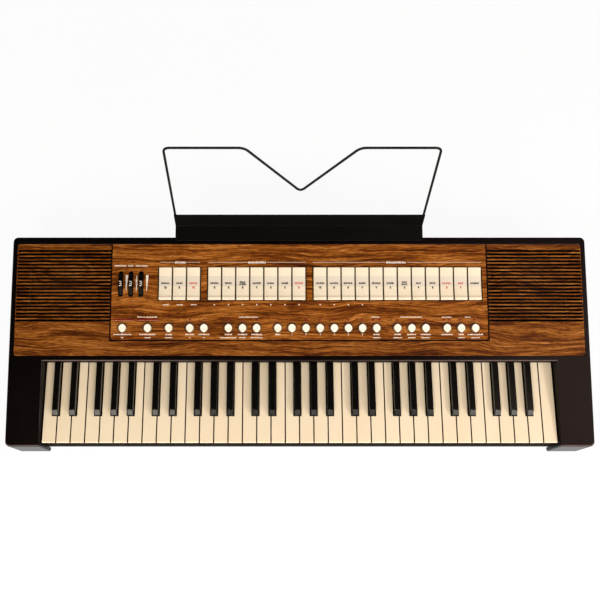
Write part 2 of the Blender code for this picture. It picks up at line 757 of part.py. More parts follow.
def make_buttons():
    """Round caps, moulded in strips whose carrier bar lies under the panel."""
    top_of_strip = -FASCIA_THICKNESS - STRIP_DROP
    for name, places in BUTTON_STRIPS:
        middle = (places[0] + places[-1]) / 2
        bm = bmesh.new()
        add_box(bm, (places[0] - middle - STRIP_WIDTH / 2, places[-1] - middle + STRIP_WIDTH / 2),
                (-STRIP_WIDTH / 2, STRIP_WIDTH / 2), (top_of_strip - STRIP_THICKNESS, top_of_strip))
        strip = add_part(name, bm, CREAM_MOULDING, DECK, (middle, BUTTON_LINE, 0))
        caps = bmesh.new()
        for x in places:
            add_button_cap(caps, x - middle, top_of_strip - STRIP_THICKNESS / 2)
        join(strip, add_tool(name + "_caps", caps, DECK, (middle, BUTTON_LINE, 0)))
        shade_round(strip)


def add_button_cap(bm, x, low):
    """A cylinder with a rounded upper edge."""
    before = set(bm.verts)
    add_rod(bm, BUTTON_RADIUS, (x, 0, low), (x, 0, BUTTON_RISE), CAP_SIDES)
    new = [vert for vert in bm.verts if vert not in before]
    rim = {
        edge for vert in new for edge in vert.link_edges
        if all(abs(end.co.z - BUTTON_RISE) < 1e-6 for end in edge.verts)
    }
    bmesh.ops.bevel(bm, geom=list(rim), offset=BUTTON_EDGE, segments=1, profile=0.5, affect="EDGES")


def make_thumbwheels():
    """Turned wheels with a rounded rim and a stub shaft at either side."""
    for index in range(WHEEL_COUNT):
        x = WHEEL_FIRST + index * WHEEL_PITCH
        half = WHEEL_WIDTH / 2
        bm = bmesh.new()
        add_rod(bm, WHEEL_RADIUS, (-half, 0, 0), (half, 0, 0), WHEEL_SIDES)
        rim = [edge for edge in bm.edges if len({round(v.co.x, 6) for v in edge.verts}) == 1]
        bmesh.ops.bevel(bm, geom=rim, offset=WHEEL_RIM, segments=1, profile=0.5, affect="EDGES")
        place = (x, WHEEL_LINE, -WHEEL_AXIS_DEPTH)
        wheel = add_part(f"thumbwheel_{index + 1}", bm, BLACK_WHEEL, DECK, place)
        stub = bmesh.new()
        reach = half + WHEEL_STUB_LENGTH
        add_rod(stub, WHEEL_STUB_RADIUS, (-reach, 0, 0), (reach, 0, 0), SOCKET_SIDES)
        join(wheel, add_tool(f"thumbwheel_{index + 1}_stub", stub, DECK, place))
        shade_round(wheel)


NATURAL_NAMES = ("C", "D", "E", "F", "G", "A", "B")


def sharp_centres():
    """Places of the five sharps from the left end of an octave, with even tails between."""
    first_tail = (3 * KEY_PITCH - 2 * SHARP_SLOT) / 3
    second_tail = (4 * KEY_PITCH - 3 * SHARP_SLOT) / 4
    centres = {}
    centres["C"] = first_tail + SHARP_SLOT / 2
    centres["D"] = 2 * first_tail + 1.5 * SHARP_SLOT
    start = 3 * KEY_PITCH
    for count, name in enumerate(("F", "G", "A")):
        centres[name] = start + (count + 1) * second_tail + (count + 0.5) * SHARP_SLOT
    return centres


def natural_tail(name, has_upper=True):
    """Left and right side of a natural's narrow tail, from the left end of the octave."""
    index = NATURAL_NAMES.index(name)
    left = index * KEY_PITCH + KEY_GAP / 2
    right = (index + 1) * KEY_PITCH - KEY_GAP / 2
    centres = sharp_centres()
    below = NATURAL_NAMES[index - 1]
    if index > 0 and below in centres:
        left = centres[below] + SHARP_SLOT / 2
    if name in centres and has_upper:
        right = centres[name] - SHARP_SLOT / 2
    return left, right


def add_natural(body, hollow, name, offset, hinge, has_upper=True):
    """One natural: a head with a skirt, a tail beside the sharps, hollow from below."""
    index = NATURAL_NAMES.index(name)
    left = offset + index * KEY_PITCH + KEY_GAP / 2
    right = offset + (index + 1) * KEY_PITCH - KEY_GAP / 2
    tail_left, tail_right = (offset + side for side in natural_tail(name, has_upper))
    front = KEY_FRONT - hinge
    step = SHARP_FRONT - KEY_GAP - hinge
    back = KEY_BACK - hinge
    top = KEY_TOP - HINGE_HEIGHT
    bottom = top - KEY_SKIRT
    outline = [(left, front), (right, front)]
    if tail_right < right - KEY_GAP / 4:
        outline += [(right, step), (tail_right, step)]
    outline += [(tail_right, back), (tail_left, back)]
    if tail_left > left + KEY_GAP / 4:
        outline += [(tail_left, step), (left, step)]
    before = set(body.verts)
    add_prism(body, outline, bottom, top)
    new = [vert for vert in body.verts if vert not in before]
    edges = {
        edge for vert in new for edge in vert.link_edges
        if all(abs(end.co.z - top) < 1e-6 and abs(end.co.y - front) < 1e-6 for end in edge.verts)
    }
    bmesh.ops.bevel(body, geom=list(edges), offset=KEY_EDGE, segments=1, profile=0.5, affect="EDGES")
    under = top - KEY_WALL * 1.5
    add_box(hollow, (left + KEY_WALL, right - KEY_WALL), (front + KEY_WALL, step - KEY_WALL),
            (bottom - KEY_SKIRT, under))
    add_box(hollow, (tail_left + KEY_WALL, tail_right - KEY_WALL), (step - 2 * KEY_WALL, back - KEY_WALL),
            (bottom - KEY_SKIRT, under))
    add_box(hollow, (left - KEY_WALL, right + KEY_WALL), (front + SKIRT_DEPTH, back + KEY_WALL),
            (bottom - KEY_SKIRT, top - KEY_BODY_HEIGHT))
    return (tail_left + tail_right) / 2


def add_sharp(body, middle, hinge):
    """One sharp: tapered sides, a short upright nose under a long slope, and softened edges."""
    front = SHARP_FRONT - hinge
    back = KEY_BACK - hinge
    foot = KEY_TOP - HINGE_HEIGHT - SHARP_DEPTH
    nose = KEY_TOP - HINGE_HEIGHT + SHARP_NOSE
    top = KEY_TOP - HINGE_HEIGHT + SHARP_RISE
    base = SHARP_WIDTH / 2
    crown = SHARP_TOP_WIDTH / 2
    before = set(body.verts)
    profile = [
        (front, foot), (back, foot), (back, top), (front + SHARP_FRONT_RUN, top), (front, nose),
    ]
    add_prism(body, profile, middle - base, middle + base, "X")
    new = [vert for vert in body.verts if vert not in before]
    for vert in new:
        share = (vert.co.z - foot) / (top - foot)
        half = base + (crown - base) * share
        vert.co.x = middle + math.copysign(half, vert.co.x - middle)
    ridge = {vert for vert in new if vert.co.z > nose + SHARP_EDGE}
    edges = {
        edge for vert in ridge for edge in vert.link_edges
        if min(end.co.z for end in edge.verts) > foot + SHARP_DEPTH
        and min(end.co.y for end in edge.verts) < back - KEY_GAP
    }
    bmesh.ops.bevel(body, geom=list(edges), offset=SHARP_EDGE, segments=1, profile=0.5, affect="EDGES")


def add_arm(bm, middle, hinge):
    """The arm that joins a key to its rail, over the rails in front of it."""
    half = ARM_WIDTH / 2
    low = ARM_BOTTOM - HINGE_HEIGHT
    high = ARM_TOP - HINGE_HEIGHT
    start = KEY_BACK - KEY_WALL * 0.7 - hinge
    web = HINGE_RADIUS * 0.6
    profile = [(start, low), (-web, low), (-web, 0.0), (web, 0.0), (web, high), (start, high)]
    add_prism(bm, profile, middle - half, middle + half, "X")


def make_key_set(name, material, keys, offset, place, has_upper=True):
    """One moulding: some keys of an octave on one hinge rail."""
    hinge = HINGE_FIRST + place * HINGE_STEP
    body = bmesh.new()
    hollow = bmesh.new()
    arms = bmesh.new()
    middles = []
    for key in keys:
        if key.endswith("#"):
            middle = offset + sharp_centres()[key[0]]
            add_sharp(body, middle, hinge)
        else:
            middle = add_natural(body, hollow, key, offset, hinge, has_upper)
        add_arm(arms, middle, hinge)
        middles.append(middle)
    reach = ARM_WIDTH / 2
    add_rod(arms, HINGE_RADIUS, (min(middles) - reach, 0, 0), (max(middles) + reach, 0, 0), RAIL_SIDES)
    location = (0, hinge, HINGE_HEIGHT)
    part = add_part(name, body, material, ORIGIN, location)
    if hollow.verts:
        cut(part, add_tool(name + "_hollow", hollow, ORIGIN, location))
    join(part, add_tool(name + "_rail", arms, ORIGIN, location))
    shade_round(part)


def make_keyboard():
    """Three mouldings to the octave, and one key alone at the top."""
    for octave in range(OCTAVES):
        offset = KEYS_LEFT + octave * 7 * KEY_PITCH
        number = octave + 1
        make_key_set(f"naturals_ceg_octave_{number}", IVORY_KEYS, ("C", "E", "G", "B"), offset, 0)
        make_key_set(f"naturals_dfa_octave_{number}", IVORY_KEYS, ("D", "F", "A"), offset, 1)
        make_key_set(f"sharps_octave_{number}", BLACK_KEYS, ("C#", "D#", "F#", "G#", "A#"), offset, 2)
    top = KEYS_LEFT + OCTAVES * 7 * KEY_PITCH
    make_key_set("natural_top_c", IVORY_KEYS, ("C",), top, 0, has_upper=False)


def make_key_frame():
    """The steel frame: floor, front stop rail and the cradle that the rails lie in."""
    half = CHEEK_INNER - KEYS_SIDE_GAP
    rear = HINGE_FIRST + 2 * HINGE_STEP + CRADLE_WIDTH
    bm = bmesh.new()
    cradle_top = HINGE_HEIGHT - HINGE_RADIUS * 0.4
    front = FRAME_FRONT
    cradle_front = HINGE_FIRST - CRADLE_WIDTH
    floor = FRAME_FLOOR + FRAME_SHEET
    profile = [
        (front, BASE_TOP + SEAT_GAP), (front + FRAME_SHEET, BASE_TOP + SEAT_GAP),
        (front + FRAME_SHEET, FRAME_FLOOR), (rear - FRAME_SHEET, FRAME_FLOOR),
        (rear - FRAME_SHEET, BASE_TOP + SEAT_GAP), (rear, BASE_TOP + SEAT_GAP),
        (rear, cradle_top), (cradle_front, cradle_top), (cradle_front, cradle_top - FRAME_SHEET),
        (rear - FRAME_SHEET, cradle_top - FRAME_SHEET), (rear - FRAME_SHEET, floor),
        (front + FRAME_STOP_DEPTH, floor), (front + FRAME_STOP_DEPTH, FRAME_STOP_HEIGHT),
        (front, FRAME_STOP_HEIGHT),
    ]
    add_prism(bm, profile, -half, half, "X")
    frame = add_part("key_frame", bm, PLATED_STEEL, ORIGIN)
    grooves = bmesh.new()
    for place in range(3):
        y = HINGE_FIRST + place * HINGE_STEP
        add_rod(grooves, HINGE_RADIUS + SEAT_GAP, (-half - FRAME_SHEET, y, HINGE_HEIGHT),
                (half + FRAME_SHEET, y, HINGE_HEIGHT), RAIL_SIDES)
    cut(frame, add_tool("frame_grooves", grooves, ORIGIN))
    shade_round(frame)


def make_speaker(name, side):
    """A round loudspeaker under a grille: rim, cone, basket and magnet as one turned body."""
    rim = SPEAKER_RADIUS
    deep = SPEAKER_DEPTH
    profile = [(rim * out, -deep * down) for out, down in SPEAKER_PROFILE]
    bm = bmesh.new()
    verts = [bm.verts.new((x, 0, z)) for x, z in profile]
    edges = [bm.edges.new(pair) for pair in zip(verts, verts[1:])]
    bmesh.ops.spin(bm, geom=verts + edges, cent=(0, 0, 0), axis=(0, 0, 1),
                   angle=2 * math.pi, steps=SPEAKER_SIDES, use_merge=True)
    bmesh.ops.remove_doubles(bm, verts=bm.verts, dist=1e-6)
    drop = -FASCIA_THICKNESS - GRILLE_RIB_DEPTH - SPEAKER_SEAT_GAP
    speaker = add_part(name, bm, SPEAKER_BLACK, DECK, (side * SPEAKER_X, SPEAKER_LINE, drop))
    shade_round(speaker)


def make_control_board():
    """The long board under the panel, hung on posts, with a bay for the thumbwheels."""
    right = PANEL_WIDTH / 2 - BOARD_SIDE_MARGIN
    left = -right
    front = PANEL_FRONT + BOARD_FRONT_MARGIN
    rear = FASCIA_REAR - BOARD_REAR_MARGIN
    between = (BUTTON_LINE + TAB_FRONT) / 2
    bay_rear = between + BOARD_NOTCH_REAR
    bay_right = left + BOARD_NOTCH_WIDTH
    outline = [
        (left, front), (right, front), (right, rear),
        (bay_right, rear), (bay_right, bay_rear), (left, bay_rear),
    ]
    bm = bmesh.new()
    add_prism(bm, outline, -BOARD_DEPTH - BOARD_THICKNESS, -BOARD_DEPTH)
    board = add_part("control_board", bm, GREEN_BOARD, DECK)
    posts = bmesh.new()
    inset = PANEL_WIDTH / 2 - POST_SIDE_MARGIN
    gaps = [(after + before + count * TAB_PITCH) / 2
            for (before, count), (after, _) in zip(TAB_GROUPS, TAB_GROUPS[1:])]
    for x in (-inset, *gaps, inset):
        for y in (between, TAB_REAR + 2 * POST_RADIUS):
            if y > bay_rear and x < bay_right:
                continue
            add_rod(posts, POST_RADIUS, (x, y, -BOARD_DEPTH - BOARD_THICKNESS / 2),
                    (x, y, -FASCIA_THICKNESS - SEAT_GAP), SMALL_SIDES)
    join(board, add_tool("control_board_posts", posts, DECK))
    shade_round(board)


def make_main_board():
    """The sound board on the floor, with its larger components."""
    bm = bmesh.new()
    left, right, front, rear = main_board_sides()
    low = BASE_TOP + STANDOFF_HEIGHT + SEAT_GAP
    add_box(bm, (left, right), (front, rear), (low, low + BOARD_THICKNESS))
    board = add_part("main_board", bm, GREEN_BOARD, ORIGIN)
    chips = bmesh.new()
    pitch = MAIN_BOARD_WIDTH / (CHIP_COUNT + 1)
    y = (front + rear) / 2
    for index in range(CHIP_COUNT):
        x = left + (index + 1) * pitch
        add_box(chips, (x - CHIP_WIDTH / 2, x + CHIP_WIDTH / 2),
                (y - CHIP_LENGTH / 2, y + CHIP_LENGTH / 2),
                (low + BOARD_THICKNESS / 2, low + BOARD_THICKNESS + CHIP_HEIGHT))
    join(board, add_tool("main_board_chips", chips, ORIGIN))


def make_power_supply():
    """The transformer on its folded foot: laminations with a winding through them."""
    low = BASE_TOP + SEAT_GAP
    x0 = SUPPLY_MIDDLE - SUPPLY_WIDTH / 2
    x1 = SUPPLY_MIDDLE + SUPPLY_WIDTH / 2
    y1 = CASE_DEPTH - SUPPLY_REAR_GAP
    y0 = y1 - SUPPLY_LENGTH
    bm = bmesh.new()
    add_box(bm, (x0 - SUPPLY_FOOT, x1 + SUPPLY_FOOT), (y0, y1), (low, low + BASE_SHEET))
    supply = add_part("power_supply", bm, DARK_STEEL, ORIGIN)
    body = bmesh.new()
    add_box(body, (x0, x1), (y0, y1), (low + BASE_SHEET / 2, low + SUPPLY_HEIGHT))
    join(supply, add_tool("supply_core", body, ORIGIN))
    winding = bmesh.new()
    third = (x1 - x0) / 5
    add_box(winding, (x0 + third, x1 - third), (y0 - SUPPLY_WINDING, y1 + SUPPLY_WINDING),
            (low + SUPPLY_HEIGHT * 0.2, low + SUPPLY_HEIGHT * 0.8))
    bmesh.ops.bevel(winding, geom=winding.edges[:], offset=SUPPLY_WINDING / 3, segments=2,
                    profile=0.5, affect="EDGES")
    join(supply, add_tool("supply_winding", winding, ORIGIN))


def make_jack_plate():
    """The rear plate behind its window, with sockets, mains inlet and a bay for the switch."""
    rear = REAR_INSIDE
    line = JACK_LINE
    across = JACK_WIDTH / 2 + JACK_FLANGE
    upright = JACK_HEIGHT / 2 + JACK_FLANGE
    bm = bmesh.new()
    add_box(bm, (JACK_MIDDLE - across, JACK_MIDDLE + across), (rear - JACK_SHEET, rear),
            (line - upright, line + upright))
    plate = add_part("jack_plate", bm, PAINTED_STEEL, ORIGIN)
    jacks = [JACK_FIRST + index * JACK_PITCH for index in range(JACK_COUNT)]
    dins = [DIN_FIRST + index * DIN_PITCH for index in range(DIN_COUNT)]
    sockets = bmesh.new()
    holes = bmesh.new()
    for x in jacks:
        add_rod(sockets, JACK_NUT_RADIUS, (x, rear - JACK_BODY, line),
                (x, rear + JACK_NUT_RISE, line), SMALL_SIDES)
        add_rod(holes, JACK_HOLE_RADIUS, (x, rear - JACK_BODY + JACK_SHEET, line),
                (x, rear + THROUGH, line), SMALL_SIDES)
    for x in dins:
        add_rod(sockets, DIN_RADIUS, (x, rear - JACK_BODY, line),
                (x, rear + JACK_NUT_RISE / 2, line), SOCKET_SIDES)
        add_rod(holes, DIN_RADIUS - DIN_WALL, (x, rear - DIN_WELL, line),
                (x, rear + THROUGH, line), SOCKET_SIDES)
    join(plate, add_tool("jack_bodies", sockets, ORIGIN))
    add_box(holes, (INLET_X - INLET_WIDTH / 2, INLET_X + INLET_WIDTH / 2),
            (rear - THROUGH, rear + THROUGH), (line - INLET_HEIGHT / 2, line + INLET_HEIGHT / 2))
    half_width = SWITCH_WIDTH / 2 + SWITCH_GAP
    half_height = SWITCH_HEIGHT / 2 + SWITCH_GAP
    add_box(holes, (SWITCH_X - half_width, SWITCH_X + half_width), (rear - THROUGH, rear + THROUGH),
            (line - half_height, line + half_height))
    cut(plate, add_tool("jack_holes", holes, ORIGIN))
    shade_round(plate)


def make_power_switch():
    """The mains rocker, which tips about an axis across its middle."""
    half = SWITCH_HEIGHT * 0.45
    profile = [
        (0.0, -half), (SWITCH_LOW_RISE, -half), (SWITCH_WAIST_RISE, 0.0), (SWITCH_HIGH_RISE, half),
        (0.0, half), (-SWITCH_DEPTH / 2, half * 0.35), (-SWITCH_DEPTH / 2, -half * 0.35),
    ]
    bm = bmesh.new()
    add_prism(bm, profile, -SWITCH_WIDTH / 2, SWITCH_WIDTH / 2, "X")
    axis = (SWITCH_X, REAR_INSIDE - JACK_SHEET / 2, JACK_LINE)
    add_part("power_switch", bm, BLACK_WHEEL, ORIGIN, axis)


def make_rest_bracket():
    """The folded plate of the music rest: flange on the case, leaning back plate, two tongues."""
    lean = REST_LEAN + DECK_SLOPE
    up = Vector((-math.sin(-lean), math.cos(lean)))
    out = Vector((math.cos(lean), -math.sin(lean)))
    low = SEAT_GAP
    fold = Vector((REST_FOLD, low))
    head = fold + up * REST_PLATE_HEIGHT
    profile = [
        (REST_FLANGE_FRONT, low), (REST_FOLD + REST_SHEET, low),
        tuple(head + out * REST_SHEET), tuple(head),
        (REST_FOLD + REST_SHEET * math.tan(lean), low + REST_SHEET), (REST_FLANGE_FRONT, low + REST_SHEET),
    ]
    bm = bmesh.new()
    add_prism(bm, profile, -REST_WIDTH / 2, REST_WIDTH / 2, "X")
    bracket = add_part("rest_bracket", bm, BLACK_STEEL, DECK)
    tongues = bmesh.new()
    for side in (-1, 1):
        add_rest_tongue(tongues, side, 0.0, low + REST_SHEET / 2)
    join(bracket, add_tool("rest_tongues", tongues, DECK))
    shade_round(bracket)


def bend(points, radius, steps=4):
    """Replace each inner corner of an open path by an arc."""
    path = [Vector(points[0])]
    for before, corner, after in zip(points, points[1:], points[2:]):
        corner = Vector(corner)
        back = (Vector(before) - corner).normalized()
        ahead = (Vector(after) - corner).normalized()
        half = back.angle(ahead) / 2
        reach = radius / math.tan(half)
        centre = corner + (back + ahead).normalized() * (radius / math.sin(half))
        start = corner + back * reach - centre
        end = corner + ahead * reach - centre
        turn_axis = start.cross(end)
        sweep = start.angle(end)
        for step in range(steps + 1):
            path.append(centre + Matrix.Rotation(sweep * step / steps, 3, turn_axis) @ start)
    path.append(Vector(points[-1]))
    return path


def make_rest_wire():
    """The bent wire of the music rest, with the dip between its two shoulders."""
    half = REST_WIDTH / 2 - WIRE_INSET
    flat = [
        (-half, WIRE_FOOT), (-half, WIRE_HEIGHT), (-WIRE_NOTCH_HALF, WIRE_HEIGHT),
        (0.0, WIRE_NOTCH_BOTTOM), (WIRE_NOTCH_HALF, WIRE_HEIGHT), (half, WIRE_HEIGHT), (half, WIRE_FOOT),
    ]
    path = bend([(x, 0.0, z) for x, z in flat], WIRE_BEND)
    curve = bpy.data.curves.new("rest_wire", "CURVE")
    curve.dimensions = "3D"
    curve.bevel_depth = WIRE_RADIUS
    curve.bevel_resolution = 2
    curve.use_fill_caps = True
    spline = curve.splines.new("POLY")
    spline.points.add(len(path) - 1)
    for point, place in zip(spline.points, path):
        point.co = (*place, 1.0)
    wire = bpy.data.objects.new("rest_wire", curve)
    curve.materials.append(BLACK_STEEL)
    ORGAN.objects.link(wire)
    wire.rotation_euler = (-REST_LEAN, 0, 0)
    behind = FOLD_Y + WIRE_OFFSET * math.cos(REST_LEAN)
    wire.location = (0, behind, FOLD_Z - WIRE_OFFSET * math.sin(REST_LEAN))
    wire.parent = ORIGIN


clear_scene()
ORGAN = make_collection("electronic_organ")
TOOLS = make_collection("cutters")
ORIGIN = make_empty("organ_origin", (0, -WHOLE_DEPTH / 2, 0))
DECK = make_empty("deck_plane", (0, 0, CASE_FRONT_HEIGHT), ORIGIN, DECK_SLOPE)

BLACK_MOULDING = make_material("black_moulding", (0.012, 0.011, 0.011), 0.35)
PAINTED_STEEL = make_material("painted_steel", (0.020, 0.020, 0.021), 0.45)
PLATED_STEEL = make_material("plated_steel", (0.55, 0.55, 0.52), 0.35, 1.0)
DARK_STEEL = make_material("dark_steel", (0.15, 0.15, 0.15), 0.5, 0.8)
BLACK_STEEL = make_material("black_steel", (0.010, 0.010, 0.010), 0.30)
WALNUT = make_material("walnut", (0.28, 0.11, 0.035), 0.42)
CREAM_MOULDING = make_material("cream_moulding", (0.85, 0.74, 0.55), 0.35)
IVORY_KEYS = make_material("ivory_keys", (0.80, 0.69, 0.49), 0.28)
BLACK_KEYS = make_material("black_keys", (0.010, 0.009, 0.009), 0.30)
BLACK_WHEEL = make_material("black_wheel", (0.008, 0.008, 0.008), 0.25)
SPEAKER_BLACK = make_material("speaker_black", (0.020, 0.018, 0.017), 0.7)
GREEN_BOARD = make_material("green_board", (0.020, 0.120, 0.050), 0.45)

make_top_case()
make_base_pan()
make_fascia()
make_control_panel()
make_tabs()
make_buttons()
make_thumbwheels()
make_keyboard()
make_key_frame()
make_speaker("speaker_left", -1)
make_speaker("speaker_right", 1)
make_control_board()
make_main_board()
make_power_supply()
make_jack_plate()
make_power_switch()
make_rest_bracket()
make_rest_wire()
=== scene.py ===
"""Looks of a portable electronic organ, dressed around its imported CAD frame.

Lengths are in metres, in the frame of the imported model: X along the keyboard, Y from the
player to the rear, Z up. What lies on the sloping top is laid out on the deck, whose U runs
up the slope from its front edge and whose W stands square to it.
"""
import json
import math

import bmesh
import bpy
import numpy as np
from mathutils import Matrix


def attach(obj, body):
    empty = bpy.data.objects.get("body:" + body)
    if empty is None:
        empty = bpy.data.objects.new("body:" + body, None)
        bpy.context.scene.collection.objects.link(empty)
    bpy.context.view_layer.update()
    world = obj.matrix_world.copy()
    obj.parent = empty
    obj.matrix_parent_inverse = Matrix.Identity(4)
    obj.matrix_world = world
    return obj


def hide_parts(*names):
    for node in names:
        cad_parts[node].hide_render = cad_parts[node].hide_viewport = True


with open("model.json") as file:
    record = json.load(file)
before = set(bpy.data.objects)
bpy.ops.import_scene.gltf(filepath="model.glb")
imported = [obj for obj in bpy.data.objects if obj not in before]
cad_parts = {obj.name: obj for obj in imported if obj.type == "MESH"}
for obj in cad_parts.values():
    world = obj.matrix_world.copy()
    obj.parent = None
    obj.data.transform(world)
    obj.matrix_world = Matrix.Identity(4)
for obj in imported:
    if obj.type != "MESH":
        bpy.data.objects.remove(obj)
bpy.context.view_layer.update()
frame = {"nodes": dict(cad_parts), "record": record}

# The deck
SLOPE = math.radians(7.5)
FRONT_Y = -0.20627
DECK_EDGE_Z = 0.079

# Meshes: the distance within which points are joined, and the angles at which an edge between
# two faces counts as flat, as a corner to be rounded, and as sharp
NEW_WELD = 1e-7
STAGE_WELD = 1e-6
NEW_SHARP = math.radians(35)
CAD_WELD = 2e-6
CAD_FLAT = math.radians(0.6)
CAD_CORNER = math.radians(40)
CAD_SHARP = math.radians(50)

# Stop tabs: where each group starts and how many tabs it holds
TAB_GROUPS = ((-0.2354, 3), (-0.1532, 7), (0.0230, 12))
TAB_PITCH = 0.0235
TAB_WIDTH = 0.0220
TAB_LINE = 0.26845
TAB_LENGTH = 0.0545
TAB_RAIL = -0.0076
TAB_FACE = 0.0012
TAB_HOLLOW = 0.0014
TAB_LIP = 0.0056
TAB_LIP_RISE = 0.0007
TAB_UNDER = -0.0048
TAB_SADDLE = 0.0032
TAB_WALL = 0.0014
TAB_EDGE = 0.0006
TAB_LIP_STEP = 0.0004
TAB_LIP_BEVEL = (0.0006, 0.0012)
TAB_LIP_ROUNDS = (0.0003, 0.0006, 0.0006, 0.0004)
RED_TABS = (3, 10, 20, 21)
TWO_LINE_TABS = (6, 17)
TAB_WORD_LINE = 0.2695
TAB_WORD_SIZE = (0.0035, 0.0014)
TAB_TWO_LINES = 0.0018
TAB_SECOND_SHORTER = 0.002
TAB_NUMBER_LINE = 0.2606
TAB_NUMBER_SIZE = 0.0028
TAB_NUMBER_STROKE = 0.0010
TAB_NUMBERS = ("16", "8", "16", "8", "8", "8", "4", "2", "3", "8", "16",
               "8", "8", "4", "4", "2", "2", "4", "8", "8", "4", "")
TAB_WORDS = (0.0140, 0.0110, 0.0140, 0.0135, 0.0120, 0.0120, 0.0140, 0.0120, 0.0110, 0.0140, 0.0140,
             0.0140, 0.0145, 0.0110, 0.0140, 0.0120, 0.0100, 0.0080, 0.0100, 0.0145, 0.0090, 0.0145)

# The greyer painted shade on a tab, over its word where the face is hollow: where it sets in and
# where it ends, along U
TAB_SHADE_START = (0.2630, 0.2642)
TAB_SHADE_END = (0.2804, 0.2820)

# Keys: the height at which the painted shade on the skirt gives way to the top plate, and how far
# the painted shade along the edges reaches from the middle of the gap between two keys
KEY_PITCH = 0.0235
KEY_SKIRT_SHADE = (0.0716, 0.0722)
KEY_GAP_SHADE = (0.00090, 0.00125)

# Push buttons: the places of the caps on each strip
BUTTONS = {
    "buttons_left": (-0.2935, -0.2516, -0.2165, -0.1816, -0.1582),
    "buttons_rhythm": (-0.1176, -0.0942, -0.0708),
    "buttons_memory": (-0.0357, -0.0123, 0.0111, 0.0345, 0.0579, 0.0813, 0.1047, 0.1281),
    "buttons_voice": (0.1628, 0.1862, 0.2096),
    "buttons_right": (0.2450, 0.2684, 0.2918),
}
BUTTON_LINE = 0.1939
BUTTON_RADIUS = 0.0069
BUTTON_RISE = 0.0040
BUTTON_ROUND = 0.0014
BUTTON_DISH = 0.0005
BUTTON_SINK = 0.0005
BUTTON_SIDES = 40
# Painted shadow round each button hole: its inner and outer distance past the cap's radius, and how
# far it is moved to the rear and the left
BUTTON_SHADOW_RING = (0.0006, 0.0016)
BUTTON_SHADOW_SHIFT = 0.0006
STRIP_HALF = 0.0060
STRIP_TOP = -0.0040
STRIP_UNDER = -0.0060

# Thumbwheels
WHEELS = (-0.2982, -0.2812, -0.2642)
WHEEL_LINE = 0.2678
WHEEL_AXIS = -0.0160
WHEEL_RADIUS = 0.0240
WHEEL_HALF = 0.0035
WHEEL_ROUND = 0.0016
WHEEL_TEETH = 64
WHEEL_TOOTH = 0.0003
STUB_RADIUS = 0.0030
STUB_REACH = 0.0080
WHEEL_SWEEP = math.radians(270)
WHEEL_NUMBERS = "12345"
WHEEL_DIGIT = 0.0036
WHEEL_STROKE = 0.0011

# Music rest
REST_LEAN = math.radians(12)
FOLD_Y = 0.36318
FOLD_Z = 0.12681
WIRE_OFFSET = 0.0038
WIRE_RADIUS = 0.0020
WIRE_HALF = 0.206
WIRE_FOOT = 0.004
WIRE_TOP = 0.2095
DIP_HALF = 0.086
DIP_BOTTOM = 0.098
WIRE_BEND = 0.010
WIRE_BEND_STEPS = 10
WIRE_SIDES = 14

# Outline of the control panel and of the grilles in the fascia board, and the width of the band
# of painted shade along the panel's joint
PANEL_HALF = 0.3143
PANEL_FRONT = 0.1730
PANEL_SHADE_WIDTH = 0.0015
GRILLE_FIRST = 0.2065
GRILLE_LAST = 0.3241
GRILLE_PITCH = 0.00588
GRILLE_OUTER = 0.4720

# Walnut: its tones, each with its place on the scale from dark to light grain, the colours of
# its pores and of the painted shade in slots, round their rims and along the panel joint, and the
# heights over the deck between which that painted shade gives way
WALNUT_TONES = (
    (0.08, (0.026, 0.0040, 0.0002)), (0.32, (0.098, 0.0210, 0.0006)),
    (0.52, (0.240, 0.068, 0.0060)), (0.72, (0.375, 0.128, 0.0190)),
    (0.94, (0.560, 0.235, 0.0620)),
)
WALNUT_PORE = (0.045, 0.010, 0.0005)
WALNUT_PAINTED_SHADE = (0.0030, 0.0014, 0.0006)
WALNUT_SHADE_DEPTHS = (-0.0011, -0.0004)

# Black moulding: the colour of the highlight painted on its rounded edges, the X at which that
# painted highlight is weakest, and the clear surface
EDGE_HIGHLIGHT = (0.070, 0.048, 0.041)
HIGHLIGHT_LOW_X = -0.02
COAT_IOR = 1.22
COAT_ROUGHNESS = 0.24

# Mains inlet in the rear plate: X and Z of its middle, Y of its back and of its face, and the
# places of its pins
INLET_PLACE = (0.2700, 0.0550)
INLET_BACK = 0.1175
INLET_FACE = 0.1334
INLET_HALF = (0.0136, 0.0106)
INLET_PINS = ((-0.0070, -0.0015), (0.0, 0.0020), (0.0070, -0.0015))
PIN_HALF = (0.0008, 0.0022)
PIN_FOOT = 0.0010
PIN_RISE = 0.0016

# Lamps on the control panel
LAMP_LINE = 0.2076
LAMP_HALF = (0.0020, 0.0013)
LAMP_FOOT = -0.0006
LAMP_RISE = 0.0007
LAMP_ROWS = (-0.2930, -0.2510)
LAMPS_IN_ROW = 8
LAMP_PITCH = 0.00445
LAMPS_SINGLE = (-0.1819, -0.1582, -0.1176, -0.0942, -0.0708, -0.0130, 0.0104, 0.0338, 0.0572, 0.0806,
                0.1040, 0.1225, 0.1329, 0.1616, 0.1848, 0.2081, 0.2397, 0.2488, 0.2668, 0.2902)

# Print on the control panel, in rows of constant U. A size of words is how tall they are and
# the step from letter to letter.
PRINT_LIFT = 0.00006

# Over the tabs and the wheels: rules and words, by their two ends
HEADER_LINE = 0.3047
HEADER_SIZE = (0.0036, 0.0022)
HEADER_RULE_HALF = 0.00027
HEADER_RULES = ((-0.2333, -0.2095), (-0.1885, -0.1662), (-0.1528, -0.0875), (-0.0540, 0.0115),
                (0.0232, 0.1440), (0.1810, 0.3049))
HEADER_WORDS = ((-0.2082, -0.1897), (-0.0858, -0.0556), (0.1456, 0.1791))
WHEEL_WORD_LINE = 0.2988
WHEEL_WORD_SIZE = (0.0024, 0.0020)
WHEEL_WORDS = ((-0.3090, -0.2895), (-0.2865, -0.2770), (-0.2740, -0.2535))

